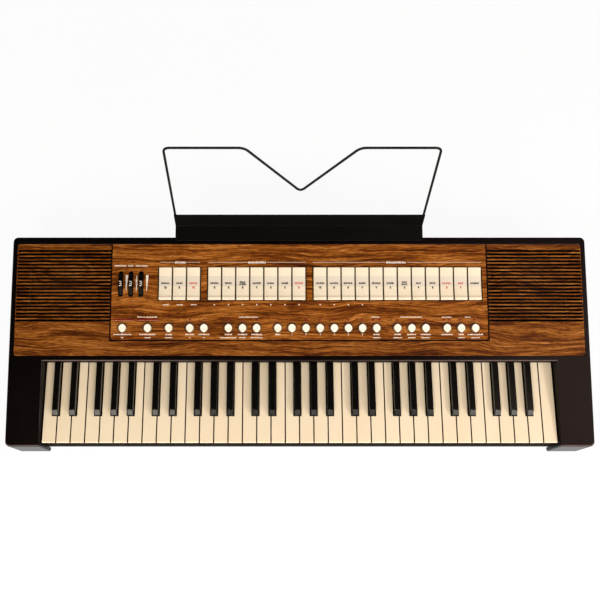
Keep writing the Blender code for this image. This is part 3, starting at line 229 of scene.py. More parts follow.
# Under the tabs: the middles of the words, and where each row of marks starts and how many
# marks it holds
TAB_NOTE_LINE = 0.2330
TAB_NOTE_WIDTH = 0.0105
TAB_NOTE_SIZE = (0.0018, 0.0018)
TAB_NOTES = (-0.2220, -0.1987, -0.1754)
TAB_MARKS = ((-0.1414, 7), (0.0347, 4))
TAB_MARK_HALF = 0.0010

# Scale marks beside the wheels: X, first and last U, and half the width at either end
SCALE_MARKS = (
    (-0.2889, 0.2560, 0.2830, 0.0004, 0.0021), (-0.2549, 0.2560, 0.2830, 0.0004, 0.0021),
    (-0.2722, 0.2560, 0.2690, 0.0004, 0.0014), (-0.2722, 0.2700, 0.2830, 0.0014, 0.0004),
)
SCALE_MARK_LEAN = 0.0008

# Under the buttons: plain numbers, and words by their X and their widths on the first and the
# second line
NUMBER_LINE = 0.1821
NUMBER_SIZE = 0.0024
NUMBER_STROKE = 0.0005
CAPTION_LINE = 0.1833
CAPTION_SIZE = (0.0022, 0.0018)
SECOND_CAPTION_LINE = 0.1779
SECOND_CAPTION_SIZE = (0.0018, 0.0017)
CAPTIONS = (
    (-0.2935, 0.030, 0.004), (-0.2516, 0.027, 0.010), (-0.2165, 0.011, 0.012),
    (-0.1816, 0.015, 0.003), (-0.1582, 0.018, 0.003), (-0.1176, 0.012, 0.027),
    (-0.0942, 0.016, 0.011), (-0.0708, 0.018, 0.020), (-0.0357, 0.009, 0.0),
    (0.1281, 0.011, 0.012), (0.1628, 0.012, 0.014), (0.1862, 0.015, 0.012),
    (0.2096, 0.017, 0.015), (0.2450, 0.020, 0.0), (0.2684, 0.009, 0.011),
    (0.2918, 0.026, 0.014),
)

# Over the groups of buttons: words by their X, width and step from letter to letter
GROUP_WORD_LINE = 0.2123
GROUP_WORD_TALL = 0.0017
GROUP_WORDS = (
    (-0.2525, 0.0330, 0.0048), (-0.0840, 0.0330, 0.0022), (0.1263, 0.0140, 0.0022),
    (0.1860, 0.0360, 0.0022), (0.2450, 0.0160, 0.0022), (0.2800, 0.0100, 0.0022),
)

# Light, floor and camera
WORLD_STRENGTH = 0.16
FLOOR_WHITE = 0.93
FLOOR_RADIUS = 5.5
FLOOR_BEND = 1.5
FLOOR_SIDES = 72
WALL_HEIGHT = 4.0
SKY_COLOUR = (1.0, 0.95, 0.88, 1.0)
LIGHTS_AIM = (0.0, -0.02, 0.08)
CAMERA_PLACE = (-0.0405, -0.35961, 1.515)
CAMERA_TILT = math.radians(15.6)
CAMERA_LENS = 52.5
CAMERA_SENSOR = 36.0
CAMERA_SHIFT = 0.0417

# Each light: name, place, width, height, power in watts and colour
LIGHTS = (
    ("key_light", (1.55, -1.00, 1.45), 0.35, 0.35, 19.0, (1.0, 0.96, 0.93)),
    ("front_left_light", (-0.62, -1.35, 1.95), 0.6, 0.6, 22.0, (1.0, 0.955, 0.90)),
    ("front_right_light", (0.55, -1.90, 1.90), 0.9, 0.6, 21.5, (1.0, 0.955, 0.92)),
    ("upper_light", (1.50, -0.35, 3.00), 1.0, 1.0, 16.0, (1.0, 0.76, 0.71)),
    ("low_left_light", (-0.72, -2.40, 0.55), 0.70, 0.8, 21.0, (1.0, 0.95, 0.90)),
    ("low_middle_light", (0.15, -2.40, 0.55), 0.40, 0.8, 4.0, (1.0, 0.95, 0.90)),
    ("low_right_light", (1.05, -2.30, 0.55), 0.80, 0.8, 20.0, (1.0, 0.95, 0.92)),
)

# Strokes of the plain numbers in use, in a box one wide and two high
DIGITS = {
    "1": ((0.5, 0, 0.5, 2), (0.1, 1.5, 0.5, 2)),
    "2": ((0, 2, 1, 2), (1, 2, 1, 1), (1, 1, 0, 1), (0, 1, 0, 0), (0, 0, 1, 0)),
    "3": ((0, 2, 1, 2), (1, 2, 1, 0), (0.2, 1, 1, 1), (0, 0, 1, 0)),
    "4": ((0, 2, 0, 0.8), (0, 0.8, 1, 0.8), (0.7, 2, 0.7, 0)),
    "5": ((1, 2, 0, 2), (0, 2, 0, 1), (0, 1, 1, 1), (1, 1, 1, 0), (1, 0, 0, 0)),
    "6": ((1, 2, 0, 2), (0, 2, 0, 0), (0, 0, 1, 0), (1, 0, 1, 1), (1, 1, 0, 1)),
    "8": ((0, 0, 1, 0), (1, 0, 1, 2), (1, 2, 0, 2), (0, 2, 0, 0), (0, 1, 1, 1)),
}


class Shade:
    """A number on a shader socket. Sums and products of it add Math nodes."""

    def __init__(self, finish, socket):
        self.finish = finish
        self.socket = socket

    def maths(self, operation, *others):
        """One Math node on this number and the others."""
        inputs = dict(enumerate((self, *others)))
        made = self.finish.node("ShaderNodeMath", {"operation": operation}, inputs)
        return Shade(self.finish, made.outputs[0])

    def __add__(self, other):
        return self.maths("ADD", other)

    def __mul__(self, other):
        return self.maths("MULTIPLY", other)

    def __sub__(self, other):
        return self.maths("SUBTRACT", other)

    def __rsub__(self, other):
        return self * -1.0 + other

    __radd__ = __add__
    __rmul__ = __mul__

    def sine(self):
        return self.maths("SINE")

    def between(self, low, high):
        """0 below low, 1 above high, and a smooth rise between them."""
        settings = {"interpolation_type": "SMOOTHSTEP"}
        inputs = {"Value": self, "From Min": low, "From Max": high, "To Min": 0.0, "To Max": 1.0}
        made = self.finish.node("ShaderNodeMapRange", settings, inputs)
        return Shade(self.finish, made.outputs[0])


class Finish:
    """One material. Every node in it comes from the method node."""

    def __init__(self, name, roughness=0.5, metallic=0.0):
        self.material = bpy.data.materials.new(name)
        self.material.use_nodes = True
        self.tree = self.material.node_tree
        self.surface = self.tree.nodes["Principled BSDF"]
        self.set("Roughness", roughness)
        self.set("Metallic", metallic)

    def set(self, socket, value):
        """Gives a value to a socket of the surface shader, by its name."""
        self.feed(self.surface.inputs[socket], value)

    def feed(self, socket, value):
        """Links a number or a socket to the socket, or writes a constant there."""
        if isinstance(value, Shade):
            self.tree.links.new(value.socket, socket)
        elif isinstance(value, bpy.types.NodeSocket):
            self.tree.links.new(value, socket)
        elif isinstance(value, tuple) and len(value) == 3 and socket.type == "RGBA":
            socket.default_value = (*value, 1.0)
        else:
            socket.default_value = value

    def node(self, kind, settings, inputs):
        """A node of the kind, with its settings, a ramp's stops, and what feeds its inputs."""
        made = self.tree.nodes.new(kind)
        for setting, value in settings.items():
            if setting == "stops":
                made.color_ramp.interpolation = "EASE"
                while len(made.color_ramp.elements) < len(value):
                    made.color_ramp.elements.new(1.0)
                for element, (place, colour) in zip(made.color_ramp.elements, value):
                    element.position = place
                    element.color = (*colour, 1.0)
            else:
                setattr(made, setting, value)
        for place, value in inputs.items():
            self.feed(made.inputs[place], value)
        return made

    def where(self, stretch=(1.0, 1.0, 1.0), turn=(0.0, 0.0, 0.0), shift=(0.0, 0.0, 0.0)):
        """Object coordinates in metres, stretched, turned and shifted."""
        places = self.node("ShaderNodeTexCoord", {}, {}).outputs["Object"]
        inputs = {"Vector": places, "Scale": stretch, "Rotation": turn, "Location": shift}
        return self.node("ShaderNodeMapping", {"vector_type": "POINT"}, inputs).outputs[0]

    def noise(self, where, scale, detail=2.0, roughness=0.5, distortion=0.0):
        """Cloudy noise about 0.5."""
        inputs = {"Vector": where, "Scale": scale, "Detail": detail,
                  "Roughness": roughness, "Distortion": distortion}
        return Shade(self, self.node("ShaderNodeTexNoise", {}, inputs).outputs[0])

    def axis(self, where, number):
        """One of the three numbers of a vector."""
        return Shade(self, self.node("ShaderNodeSeparateXYZ", {}, {0: where}).outputs[number])

    def point(self, x, y, z):
        """A vector from three numbers."""
        return self.node("ShaderNodeCombineXYZ", {}, {0: x, 1: y, 2: z}).outputs[0]

    def over_deck(self):
        """Height over the deck: W = Z cos(slope) - Y sin(slope) - that of the deck's front edge."""
        places = self.where()
        edge = DECK_EDGE_Z * math.cos(SLOPE) - FRONT_Y * math.sin(SLOPE)
        return self.axis(places, 2) * math.cos(SLOPE) - self.axis(places, 1) * math.sin(SLOPE) - edge

    def up_deck(self):
        """Distance up the deck: U = (Y - front) cos(slope) + (Z - edge) sin(slope)."""
        places = self.where()
        start = FRONT_Y * math.cos(SLOPE) + DECK_EDGE_Z * math.sin(SLOPE)
        return self.axis(places, 1) * math.cos(SLOPE) + self.axis(places, 2) * math.sin(SLOPE) - start

    def ramp(self, shade, stops):
        """Colours from a number, eased between their stops."""
        return self.node("ShaderNodeValToRGB", {"stops": stops}, {0: shade}).outputs[0]

    def blend(self, share, first, second):
        """The first colour, turning into the second as the share rises from 0 to 1."""
        settings = {"data_type": "RGBA", "blend_type": "MIX", "clamp_factor": True}
        return self.node("ShaderNodeMix", settings, {0: share, 6: first, 7: second}).outputs[2]

    def bump(self, height, depth, strength):
        """Relief of the surface from a number, at the given depth in metres."""
        inputs = {"Height": height, "Distance": depth, "Strength": strength}
        self.set("Normal", self.node("ShaderNodeBump", {}, inputs).outputs[0])


def walnut(name, shift, light):
    """Walnut veneer. The height across the grain is warped by two slow noises, and bands, streaks
    and fibres are noises stretched along that warped height, so they bend in long arches. Walls
    and ribs under the face get painted shade, near black, and so do the rims of the grille slots
    and a band along the joint round the control panel."""
    wood = Finish(name)
    flat = wood.where(turn=(-SLOPE, 0.0, 0.0), shift=shift)
    along = wood.axis(flat, 0)
    across = wood.axis(flat, 1)
    arch = wood.noise(wood.point(along * 8.0, across * 18.0, 0.0), 1.0, 1.0)
    sway = wood.noise(wood.point(along * 24.0, across * 90.0, 3.0), 1.0, 2.0)
    line = across + (arch - 0.5) * 0.031 + (sway - 0.5) * 0.002
    band = wood.noise(wood.point(along * 7.0, line * 110.0, 7.0), 1.0, 3.0).between(0.32, 0.68)
    streak = wood.noise(wood.point(along * 12.0, line * 420.0, 0.0), 1.0, 4.0, 0.75)
    fibre = wood.noise(wood.point(along * 60.0, line * 1100.0, 5.0), 1.0, 2.0, 0.6)
    pores = wood.noise(wood.point(along * 80.0, line * 850.0, 9.0), 1.0, 1.0).between(0.55, 0.63)
    tone = band * 0.38 + streak.between(0.32, 0.68) * 0.46 + fibre * 0.96 - 0.42
    colour = wood.ramp(tone, [(place, tuple(channel * light for channel in shade))
                              for place, shade in WALNUT_TONES])
    colour = wood.blend(pores * 0.60, colour, WALNUT_PORE)
    # Painted shade: near black under the face, round the grille slots and along the panel joint.
    below = 1.0 - wood.over_deck().between(*WALNUT_SHADE_DEPTHS)
    wood_shade = slot_rims(wood).maths("MAXIMUM", panel_joint(wood)).maths("MAXIMUM", below)
    wood.set("Base Color", wood.blend(wood_shade, colour, WALNUT_PAINTED_SHADE))
    wood.set("Roughness", fibre * 0.16 + 0.36)
    wood.set("Specular IOR Level", 0.08)
    wood.bump(fibre * 0.5 - pores, 0.00006, 0.5)
    return wood.material


def slot_rims(wood):
    """Mask of painted shade on the wood close to the grille slots, 1 where cos(2 pi (U - first) /
    pitch) is above -0.15, within the rows of slots and their width."""
    up = wood.up_deck()
    out = wood.axis(wood.where(), 0).maths("ABSOLUTE")
    phase = (up - GRILLE_FIRST) * (2.0 * math.pi / GRILLE_PITCH) + math.pi / 2
    margin = GRILLE_PITCH / 2
    rows = up.between(GRILLE_FIRST - margin, GRILLE_FIRST - margin + 0.0004) * (
        1.0 - up.between(GRILLE_LAST + margin - 0.0004, GRILLE_LAST + margin))
    width = out.between(PANEL_HALF, PANEL_HALF + 0.0006) * (
        1.0 - out.between(GRILLE_OUTER - 0.0006, GRILLE_OUTER))
    return phase.sine().between(-0.50, -0.15) * rows * width


def panel_joint(wood):
    """Mask of painted shade on the wood along the outline of the control panel, 1 close to it: the
    larger of |X| - half and front - U is the distance outside it."""
    out = wood.axis(wood.where(), 0).maths("ABSOLUTE") - PANEL_HALF
    distance = out.maths("MAXIMUM", wood.up_deck() * -1.0 + PANEL_FRONT).maths("ABSOLUTE")
    return 1.0 - distance.between(PANEL_SHADE_WIDTH * 0.5, PANEL_SHADE_WIDTH)


def moulded_black(name, colour, roughness, gloss, lift, tint, coat=0.0, edge_highlight=0.0):
    """Black moulding: a fine orange-peel skin, faint rubbed patches, a little dust, and a painted
    highlight on the rounded edges, lighter and partly metallic, strongest on those that face the
    front and towards both ends, under a clear smooth surface of the given strength."""
    skin = Finish(name)
    skin.set("Specular Tint", tint)
    facing = skin.node("ShaderNodeNewGeometry", {}, {}).outputs["True Normal"]
    sideways = skin.axis(facing, 0).maths("ABSOLUTE")
    skin.set("Coat Weight", (1.0 - sideways.between(0.80, 0.95)) * coat)
    skin.set("Coat IOR", COAT_IOR)
    skin.set("Coat Roughness", COAT_ROUGHNESS)
    peel = skin.noise(skin.where(), 900.0, 2.0)
    rubbed = skin.noise(skin.where(), 14.0, 4.0, 0.6)
    dust = skin.noise(skin.where(), 240.0, 5.0, 0.7).between(0.62, 0.80)
    lighter = tuple(channel * 2.0 + 0.002 for channel in colour)
    upward = skin.axis(facing, 2)
    # Painted highlight on rounded edges: most on those that face the front and lie towards both ends.
    forward = (skin.axis(facing, 1) * -1.0).between(0.16, 0.24)
    outward = (skin.axis(skin.where(), 0) - HIGHLIGHT_LOW_X).maths("ABSOLUTE").between(0.02, 0.30)
    edge = upward.between(0.66, 0.80) * (1.0 - upward.between(0.972, 0.988))
    edge = edge * (forward * 0.94 + 0.06) * (outward * 0.88 + 0.12)
    colour = skin.blend(rubbed.between(0.45, 0.75) * 0.3 + dust * 0.3, colour, lighter)
    skin.set("Base Color", skin.blend(edge * edge_highlight, colour, EDGE_HIGHLIGHT))
    skin.set("Metallic", edge * edge_highlight * 0.50)
    skin.set("Roughness", rubbed * 0.10 + dust * 0.10 + (roughness - 0.05))
    skin.set("Specular IOR Level", gloss)
    skin.bump(peel, lift, 0.4)
    return skin.material


def ivory(name, colour, roughness, shade_tone, gloss=0.25, skirt=False, hollow_shade=False):
    """Warm white moulding: a slow drift of tone, faint flow marks and a nearly smooth skin, with
    painted brown shade on the sides of a piece, where the next one is close. Keys also get painted
    shade on the skirt under the top plate and along their edges, at whole multiples of the key
    pitch, and tabs a greyer painted shade over their word, in the hollow of the face."""
    skin = Finish(name)
    drift = skin.noise(skin.where((18.0, 6.0, 18.0)), 1.0, 3.0, 0.5)
    flow = skin.noise(skin.where((260.0, 40.0, 260.0)), 1.0, 3.0, 0.6)
    facing = skin.node("ShaderNodeNewGeometry", {}, {}).outputs["True Normal"]
    # Painted shade on the sides of a piece, where the face turns sideways.
    painted_shade = skin.axis(facing, 0).maths("ABSOLUTE").between(0.10, 0.30)
    if skirt:
        # Painted shade on the skirt under the top plate, and along the edges beside the gaps between
        # keys.
        forward = (skin.axis(facing, 1) * -1.0).between(0.70, 0.90)
        low = 1.0 - skin.axis(skin.where(), 2).between(*KEY_SKIRT_SHADE)
        beside = skin.axis(skin.where(), 0).maths("PINGPONG", KEY_PITCH / 2)
        gap_shade = 1.0 - beside.between(*KEY_GAP_SHADE)
        painted_shade = painted_shade.maths("MAXIMUM", forward * low).maths("MAXIMUM", gap_shade)
    deeper = tuple(channel * share for channel, share in zip(colour, (0.95, 0.92, 0.86)))
    greyer = tuple(channel * share for channel, share in zip(colour, (0.85, 0.86, 0.90)))
    colour = skin.blend(drift.between(0.30, 0.75) * 0.6 + flow * 0.18, colour, deeper)
    if hollow_shade:
        # Painted shade over the word, where the tab's face is hollow.
        up = skin.up_deck()
        field = up.between(*TAB_SHADE_START) * (1.0 - up.between(*TAB_SHADE_END))
        colour = skin.blend(field, colour, greyer)
    skin.set("Base Color", skin.blend(painted_shade, colour, shade_tone))
    skin.set("Roughness", flow * 0.10 + painted_shade * 0.5 + (roughness - 0.05))
    skin.set("Specular IOR Level", gloss)
    skin.bump(flow, 0.00002, 0.3)
    return skin.material


def painted_steel(name, colour, roughness, gloss):
    """Powder paint on steel: close grained, with scattered bright rubs."""
    paint = Finish(name)
    grain = paint.noise(paint.where(), 1400.0, 2.0)
    cloud = paint.noise(paint.where(), 30.0, 4.0, 0.6)
    rub = paint.noise(paint.where((1.0, 1.0, 6.0)), 90.0, 6.0, 0.7).between(0.72, 0.82)
    lighter = tuple(channel * 1.7 + 0.004 for channel in colour)
    paint.set("Base Color", paint.blend(cloud * 0.4 + rub * 0.5, colour, lighter))
    paint.set("Roughness", cloud * 0.12 + grain * 0.06 + (roughness - 0.09))
    paint.set("Specular IOR Level", gloss)
    paint.bump(grain, 0.00003, 0.4)
    return paint.material


def bright_steel(name, colour, roughness):
    """Zinc-plated sheet: soft spangles and fine rolling lines along X."""
    metal = Finish(name, metallic=1.0)
    spangle = metal.noise(metal.where(), 120.0, 2.0, 0.4, 1.2)
    lines = metal.noise(metal.where((8.0, 900.0, 900.0)), 1.0, 2.0)
    darker = tuple(channel * 0.72 for channel in colour)
    metal.set("Base Color", metal.blend(spangle.between(0.35, 0.65), colour, darker))
    metal.set("Roughness", spangle * 0.16 + lines * 0.14 + (roughness - 0.15))
    metal.bump(lines, 0.00002, 0.4)
    return metal.material


def circuit_board(name):
    """Green lacquered board with paler tracks that run along and across it."""
    board = Finish(name, 0.38)
    rows = board.axis(board.where(), 1) * 1900.0
    columns = board.axis(board.where(), 0) * 1300.0
    cells = board.noise(board.where((60.0, 60.0, 60.0)), 1.0, 0.0)
    along = rows.sine().between(0.55, 0.75) * cells.between(0.50, 0.52)
    over = columns.sine().between(0.60, 0.80) * (1.0 - cells.between(0.46, 0.48))
    colour = board.blend(along + over, (0.012, 0.075, 0.028), (0.055, 0.190, 0.070))
    board.set("Base Color", colour)
    board.bump(along + over, 0.00004, 0.6)
    return board.material


def paper_cone(name):
    """Black pressed paper of the loudspeakers, with a fibrous bump."""
    cone = Finish(name)
    fibre = cone.noise(cone.where(), 520.0, 6.0, 0.7)
    cone.set("Base Color", cone.blend(fibre, (0.003, 0.003, 0.003), (0.012, 0.011, 0.010)))
    cone.set("Roughness", fibre * 0.3 + 0.55)
    cone.set("Specular IOR Level", 0.2)
    cone.bump(fibre, 0.0002, 0.7)
    return cone.material


def ink(name, colour):
    """Screen-printed ink: a little thin in places."""
    print_ink = Finish(name, 0.55)
    thin = print_ink.noise(print_ink.where(), 1600.0, 2.0).between(0.52, 0.80)
    weaker = tuple(channel * 0.78 for channel in colour)
    print_ink.set("Base Color", print_ink.blend(thin, colour, weaker))
    return print_ink.material


def lamp_red(name):
    """Unlit red lamp lenses: clear plastic over a red whose depth drifts."""
    lens = Finish(name, 0.22)
    deep = lens.noise(lens.where(), 500.0, 1.0)
    lens.set("Base Color", lens.blend(deep, (0.260, 0.014, 0.006), (0.150, 0.006, 0.003)))
    lens.set("Coat Weight", 0.3)
    lens.set("Coat Roughness", 0.08)
    return lens.material


def on_deck(x, u, w):
    """Deck places as points: Y = front + U cos(slope) - W sin(slope), Z = edge + U sin + W cos."""
    x, u, w = np.broadcast_arrays(np.asarray(x, float), u, w)
    y = FRONT_Y + u * math.cos(SLOPE) - w * math.sin(SLOPE)
    z = DECK_EDGE_Z + u * math.sin(SLOPE) + w * math.cos(SLOPE)
    return np.stack([x, y, z], axis=-1)


def mesh_grid(rows, columns, closed=False):
    """Quads of a grid of points stored row by row; closed joins the last column to the first."""
    row = np.arange(rows - 1)[:, None]
    column = np.arange(columns if closed else columns - 1)[None, :]
    following = (column + 1) % columns
    corners = (row * columns + column, row * columns + following,
               (row + 1) * columns + following, (row + 1) * columns + column)
    return np.stack(np.broadcast_arrays(*corners), axis=-1).reshape(-1, 4).tolist()


def gather(shapes):
    """Several shapes, each of points and faces, as one."""
    points = []
    faces = []
    count = 0
    for shape_points, shape_faces in shapes:
        points.append(np.reshape(shape_points, (-1, 3)))
        faces += [[index + count for index in face] for face in shape_faces]
        count += len(points[-1])
    return np.concatenate(points), faces


def make_piece(name, shape, material, body, closed=True):
    """A mesh object from points and faces, riding on a CAD body. Closed shells face outward."""
    points, faces = shape
    mesh = bpy.data.meshes.new(name)
    mesh.from_pydata(np.reshape(points, (-1, 3)).tolist(), [], faces)
    bm = bmesh.new()
    bm.from_mesh(mesh)
    bmesh.ops.remove_doubles(bm, verts=bm.verts, dist=NEW_WELD)
    if closed:
        bmesh.ops.recalc_face_normals(bm, faces=bm.faces)
    return settle(name, bm, mesh, material, body, NEW_SHARP)


def settle(name, bm, mesh, material, body, sharp):
    """Smooth faces with sharp edges past the given angle, one material and a body."""
    for face in bm.faces:
        face.smooth = True
    for edge in bm.edges:
        edge.smooth = edge.calc_face_angle(0.0) < sharp
    bm.to_mesh(mesh)
    bm.free()
    mesh.materials.append(material)
    piece = bpy.data.objects.new(name, mesh)
    bpy.context.scene.collection.objects.link(piece)
    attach(piece, body)
    return piece


def soften(node, body, material, edge):
    """A copy of a CAD node with its triangles merged and its corners rounded, in its place."""
    bm = bmesh.new()
    bm.from_mesh(frame["nodes"][node].data)
    bmesh.ops.remove_doubles(bm, verts=bm.verts, dist=CAD_WELD)
    bmesh.ops.dissolve_limit(bm, angle_limit=CAD_FLAT, verts=bm.verts, edges=bm.edges)
    corners = [e for e in bm.edges if e.is_manifold and e.calc_face_angle(0.0) > CAD_CORNER]
    bmesh.ops.bevel(bm, geom=corners, offset=edge, segments=2, profile=0.5,
                    affect="EDGES", clamp_overlap=True)
    mesh = bpy.data.meshes.new(node + "_finished")
    piece = settle(node + "_finished", bm, mesh, material, body, CAD_SHARP)
    level = piece.modifiers.new("flat_faces_stay_flat", "WEIGHTED_NORMAL")
    level.keep_sharp = True
    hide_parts(node)


def inset(outline, distance):
    """Each corner of a closed outline moved inward along its mitre, so that every side moves
    in by the distance: corner - distance * (n1 + n2) / (1 + n1 . n2), n the outward normals."""
    ahead = np.roll(outline, -1, axis=0) - outline
    normal = np.stack([ahead[:, 1], -ahead[:, 0]], axis=-1)
    normal /= np.linalg.norm(normal, axis=-1, keepdims=True)
    before = np.roll(normal, 1, axis=0)
    share = 1.0 + np.sum(normal * before, axis=-1, keepdims=True)
    return outline - distance * (normal + before) / np.maximum(share, 0.35)


def fillet(outline, radius, steps=4):
    """Every corner becomes a curve (1-t)^2 A + 2t(1-t) C + t^2 B between points A and B that
    lie the radius away from the corner C along its two sides."""
    outline = np.asarray(outline, float)
    radius = np.broadcast_to(radius, len(outline))[:, None]
    back = np.roll(outline, 1, axis=0) - outline
    ahead = np.roll(outline, -1, axis=0) - outline
    back_length = np.linalg.norm(back, axis=-1, keepdims=True)
    ahead_length = np.linalg.norm(ahead, axis=-1, keepdims=True)
    start = outline + back / back_length * np.minimum(radius, back_length * 0.49)
    end = outline + ahead / ahead_length * np.minimum(radius, ahead_length * 0.49)
    t = np.linspace(0.0, 1.0, steps + 1)[None, :, None]
    curve = (1 - t) ** 2 * start[:, None] + 2 * t * (1 - t) * outline[:, None] + t**2 * end[:, None]
    return curve.reshape(-1, outline.shape[1])


def plate(half_width, half_height, radius, steps):
    """An oblong outline about the origin with rounded corners."""
    return fillet([(-half_width, -half_height), (half_width, -half_height),
                   (half_width, half_height), (-half_width, half_height)], radius, steps)


def slab(outline, low, high, edge, steps=3):
    """An outline carried from low to high, drawn in at both ends by a quarter circle:
    inset = edge (1 - sin a), height = low + edge (1 - cos a). Points are outline, height."""
    angle = np.linspace(0.0, math.pi / 2, steps + 1)
    draw = edge * (1 - np.sin(angle))
    climb = edge * (1 - np.cos(angle))
    insets = np.concatenate([draw, draw[::-1]])
    heights = np.concatenate([low + climb, high - climb[::-1]])
    rings = np.stack([inset(outline, d) for d in insets])
    heights = np.broadcast_to(heights[:, None, None], (*rings.shape[:2], 1))
    points = np.concatenate([rings, heights], axis=-1)
    count = len(outline)
    faces = mesh_grid(len(insets), count, closed=True)
    last = (len(insets) - 1) * count
    faces += [list(range(count))[::-1], list(range(last, last + count))]
    return points.reshape(-1, 3), faces


def turned(profile, sides):
    """A profile of radius and height turned about the third axis: r cos a, r sin a, h."""
    profile = np.asarray(profile, float)
    angle = np.linspace(0.0, 2 * math.pi, sides, endpoint=False)
    radius = profile[:, 0][:, None]
    height = np.broadcast_to(profile[:, 1][:, None], (len(profile), sides))
    points = np.stack([radius * np.cos(angle), radius * np.sin(angle), height], axis=-1)
    return points.reshape(-1, 3), mesh_grid(len(profile), sides, closed=True)


def tube(path, radius, flat_normal, sides):
    """A round rod along a flat path: P + r (cos a N + sin a B), N the path's plane normal and
    B square to it and to the tangent, with a flat disc at either end."""
    tangent = np.gradient(path, axis=0)
    tangent /= np.linalg.norm(tangent, axis=-1, keepdims=True)
    side = np.cross(tangent, flat_normal)
    angle = np.linspace(0.0, 2 * math.pi, sides, endpoint=False)[None, :, None]
    ring = np.cos(angle) * flat_normal[None, None, :] + np.sin(angle) * side[:, None, :]
    points = path[:, None, :] + radius * ring
    faces = mesh_grid(len(path), sides, closed=True)
    last = (len(path) - 1) * sides
    faces += [list(range(sides))[::-1], list(range(last, last + sides))]
    return points.reshape(-1, 3), faces


def tab_top(u):
    """Height of a tab's face over the deck: a shallow sine hollow behind a raised front lip."""
    half = TAB_LENGTH / 2
    share = np.clip((u + half - TAB_LIP) / (TAB_LENGTH - TAB_LIP), 0.0, 1.0)
    return TAB_FACE - TAB_HOLLOW * np.sin(math.pi * share)


def tab_outline():
    """Side view of a tab, about the middle of its length and the height of the deck."""
    half = TAB_LENGTH / 2
    u = np.linspace(-half + TAB_LIP, half, 22)
    face = np.stack([u, tab_top(u)], axis=-1)[::-1]
    lip_top = TAB_FACE + TAB_LIP_RISE
    outer = TAB_SADDLE + TAB_WALL
    angle = np.linspace(math.pi, 0.0, 9)
    saddle = np.stack([TAB_SADDLE * np.cos(angle), TAB_RAIL + TAB_SADDLE * np.sin(angle)], axis=-1)
    bevel_run, bevel_fall = TAB_LIP_BEVEL
    front = fillet([
        (-half + TAB_LIP - TAB_LIP_STEP, lip_top), (-half + bevel_run, lip_top),
        (-half, lip_top - bevel_fall), (-half, TAB_UNDER),
    ], TAB_LIP_ROUNDS, 3)
    under = [(-outer, TAB_UNDER), (-outer, TAB_RAIL)]
    rear = [(outer, TAB_RAIL), (outer, TAB_UNDER), (half, TAB_UNDER)]
    return np.concatenate([face, front, under, saddle, rear])


def make_stop_tabs():
    """Cream rocker tabs, rounded along their sides, one over each CAD tab."""
    outline = tab_outline()
    number = 0
    for start, count in TAB_GROUPS:
        for index in range(count):
            number += 1
            middle = start + (index + 0.5) * TAB_PITCH
            points, faces = slab(outline, middle - TAB_WIDTH / 2, middle + TAB_WIDTH / 2, TAB_EDGE)
            placed = on_deck(points[:, 2], TAB_LINE + points[:, 0], points[:, 1])
            name = f"stop_tab_{number:02d}"
            tab = make_piece(name + "_moulding", (placed, faces), finishes["cream"], name)
            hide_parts(name)
            print_tab(name, number, middle)


def ribbon(x0, x1, u0, u1, height):
    """A thin strip of ink on the deck, its height a function of U."""
    x, u = np.meshgrid([x0, x1], [u0, u1])
    points = on_deck(x, u, height(u))
    return points.reshape(-1, 3), mesh_grid(2, 2)


def strokes(text, x, u, size, width, height):
    """Plain numbers as thin strokes, centred on X and standing on U."""
    shapes = []
    advance = size * 0.8
    left = x - (len(text) * advance - size * 0.3) / 2
    for place, digit in enumerate(text):
        for x0, u0, x1, u1 in DIGITS[digit]:
            start = np.array([left + place * advance + x0 * size * 0.5, u + u0 * size * 0.5])
            end = np.array([left + place * advance + x1 * size * 0.5, u + u1 * size * 0.5])
            run = (end - start) / np.linalg.norm(end - start)
            side = np.array([-run[1], run[0]]) * width / 2
            start = start - run * width / 2
            end = end + run * width / 2
            corners = np.array([start - side, end - side, end + side, start + side])
            points = on_deck(corners[:, 0], corners[:, 1], height(corners[:, 1]))
            shapes.append((points, [[0, 1, 2, 3]]))
    return shapes


def blocks(x, u, width, size, height, seed):
    """A printed word as a row of plain little blocks, with no lettering in it."""
    tall, step = size
    count = max(2, int(round(width / step)))
    chance = np.random.default_rng(seed)
    lefts = x - width / 2 + np.arange(count) * width / count
    lengths = width / count * chance.uniform(0.62, 0.90, count)
    talls = tall * chance.uniform(0.70, 1.0, count)
    return [ribbon(left, left + length, u - tall / 2, u - tall / 2 + rise, height)
            for left, length, rise in zip(lefts, lengths, talls)]


def print_tab(name, number, middle):
    """The word bar, or two of them, and the plain number on one tab."""
    def face(u):
        return tab_top(u - TAB_LINE) + PRINT_LIFT

    width = TAB_WORDS[number - 1]
    lines = (TAB_WORD_LINE,)
    if number in TWO_LINE_TABS:
        lines = (TAB_WORD_LINE - TAB_TWO_LINES, TAB_WORD_LINE + TAB_TWO_LINES)
    shapes = []
    for place, line in enumerate(lines):
        shapes += blocks(middle, line, width - TAB_SECOND_SHORTER * place, TAB_WORD_SIZE, face,
                         seed=number + place)
    shapes += strokes(TAB_NUMBERS[number - 1], middle, TAB_NUMBER_LINE, TAB_NUMBER_SIZE,
                      TAB_NUMBER_STROKE, face)
    colour = "red_ink" if number in RED_TABS else "black_ink"
    make_piece(name + "_print", gather(shapes), finishes[colour], name, closed=False)


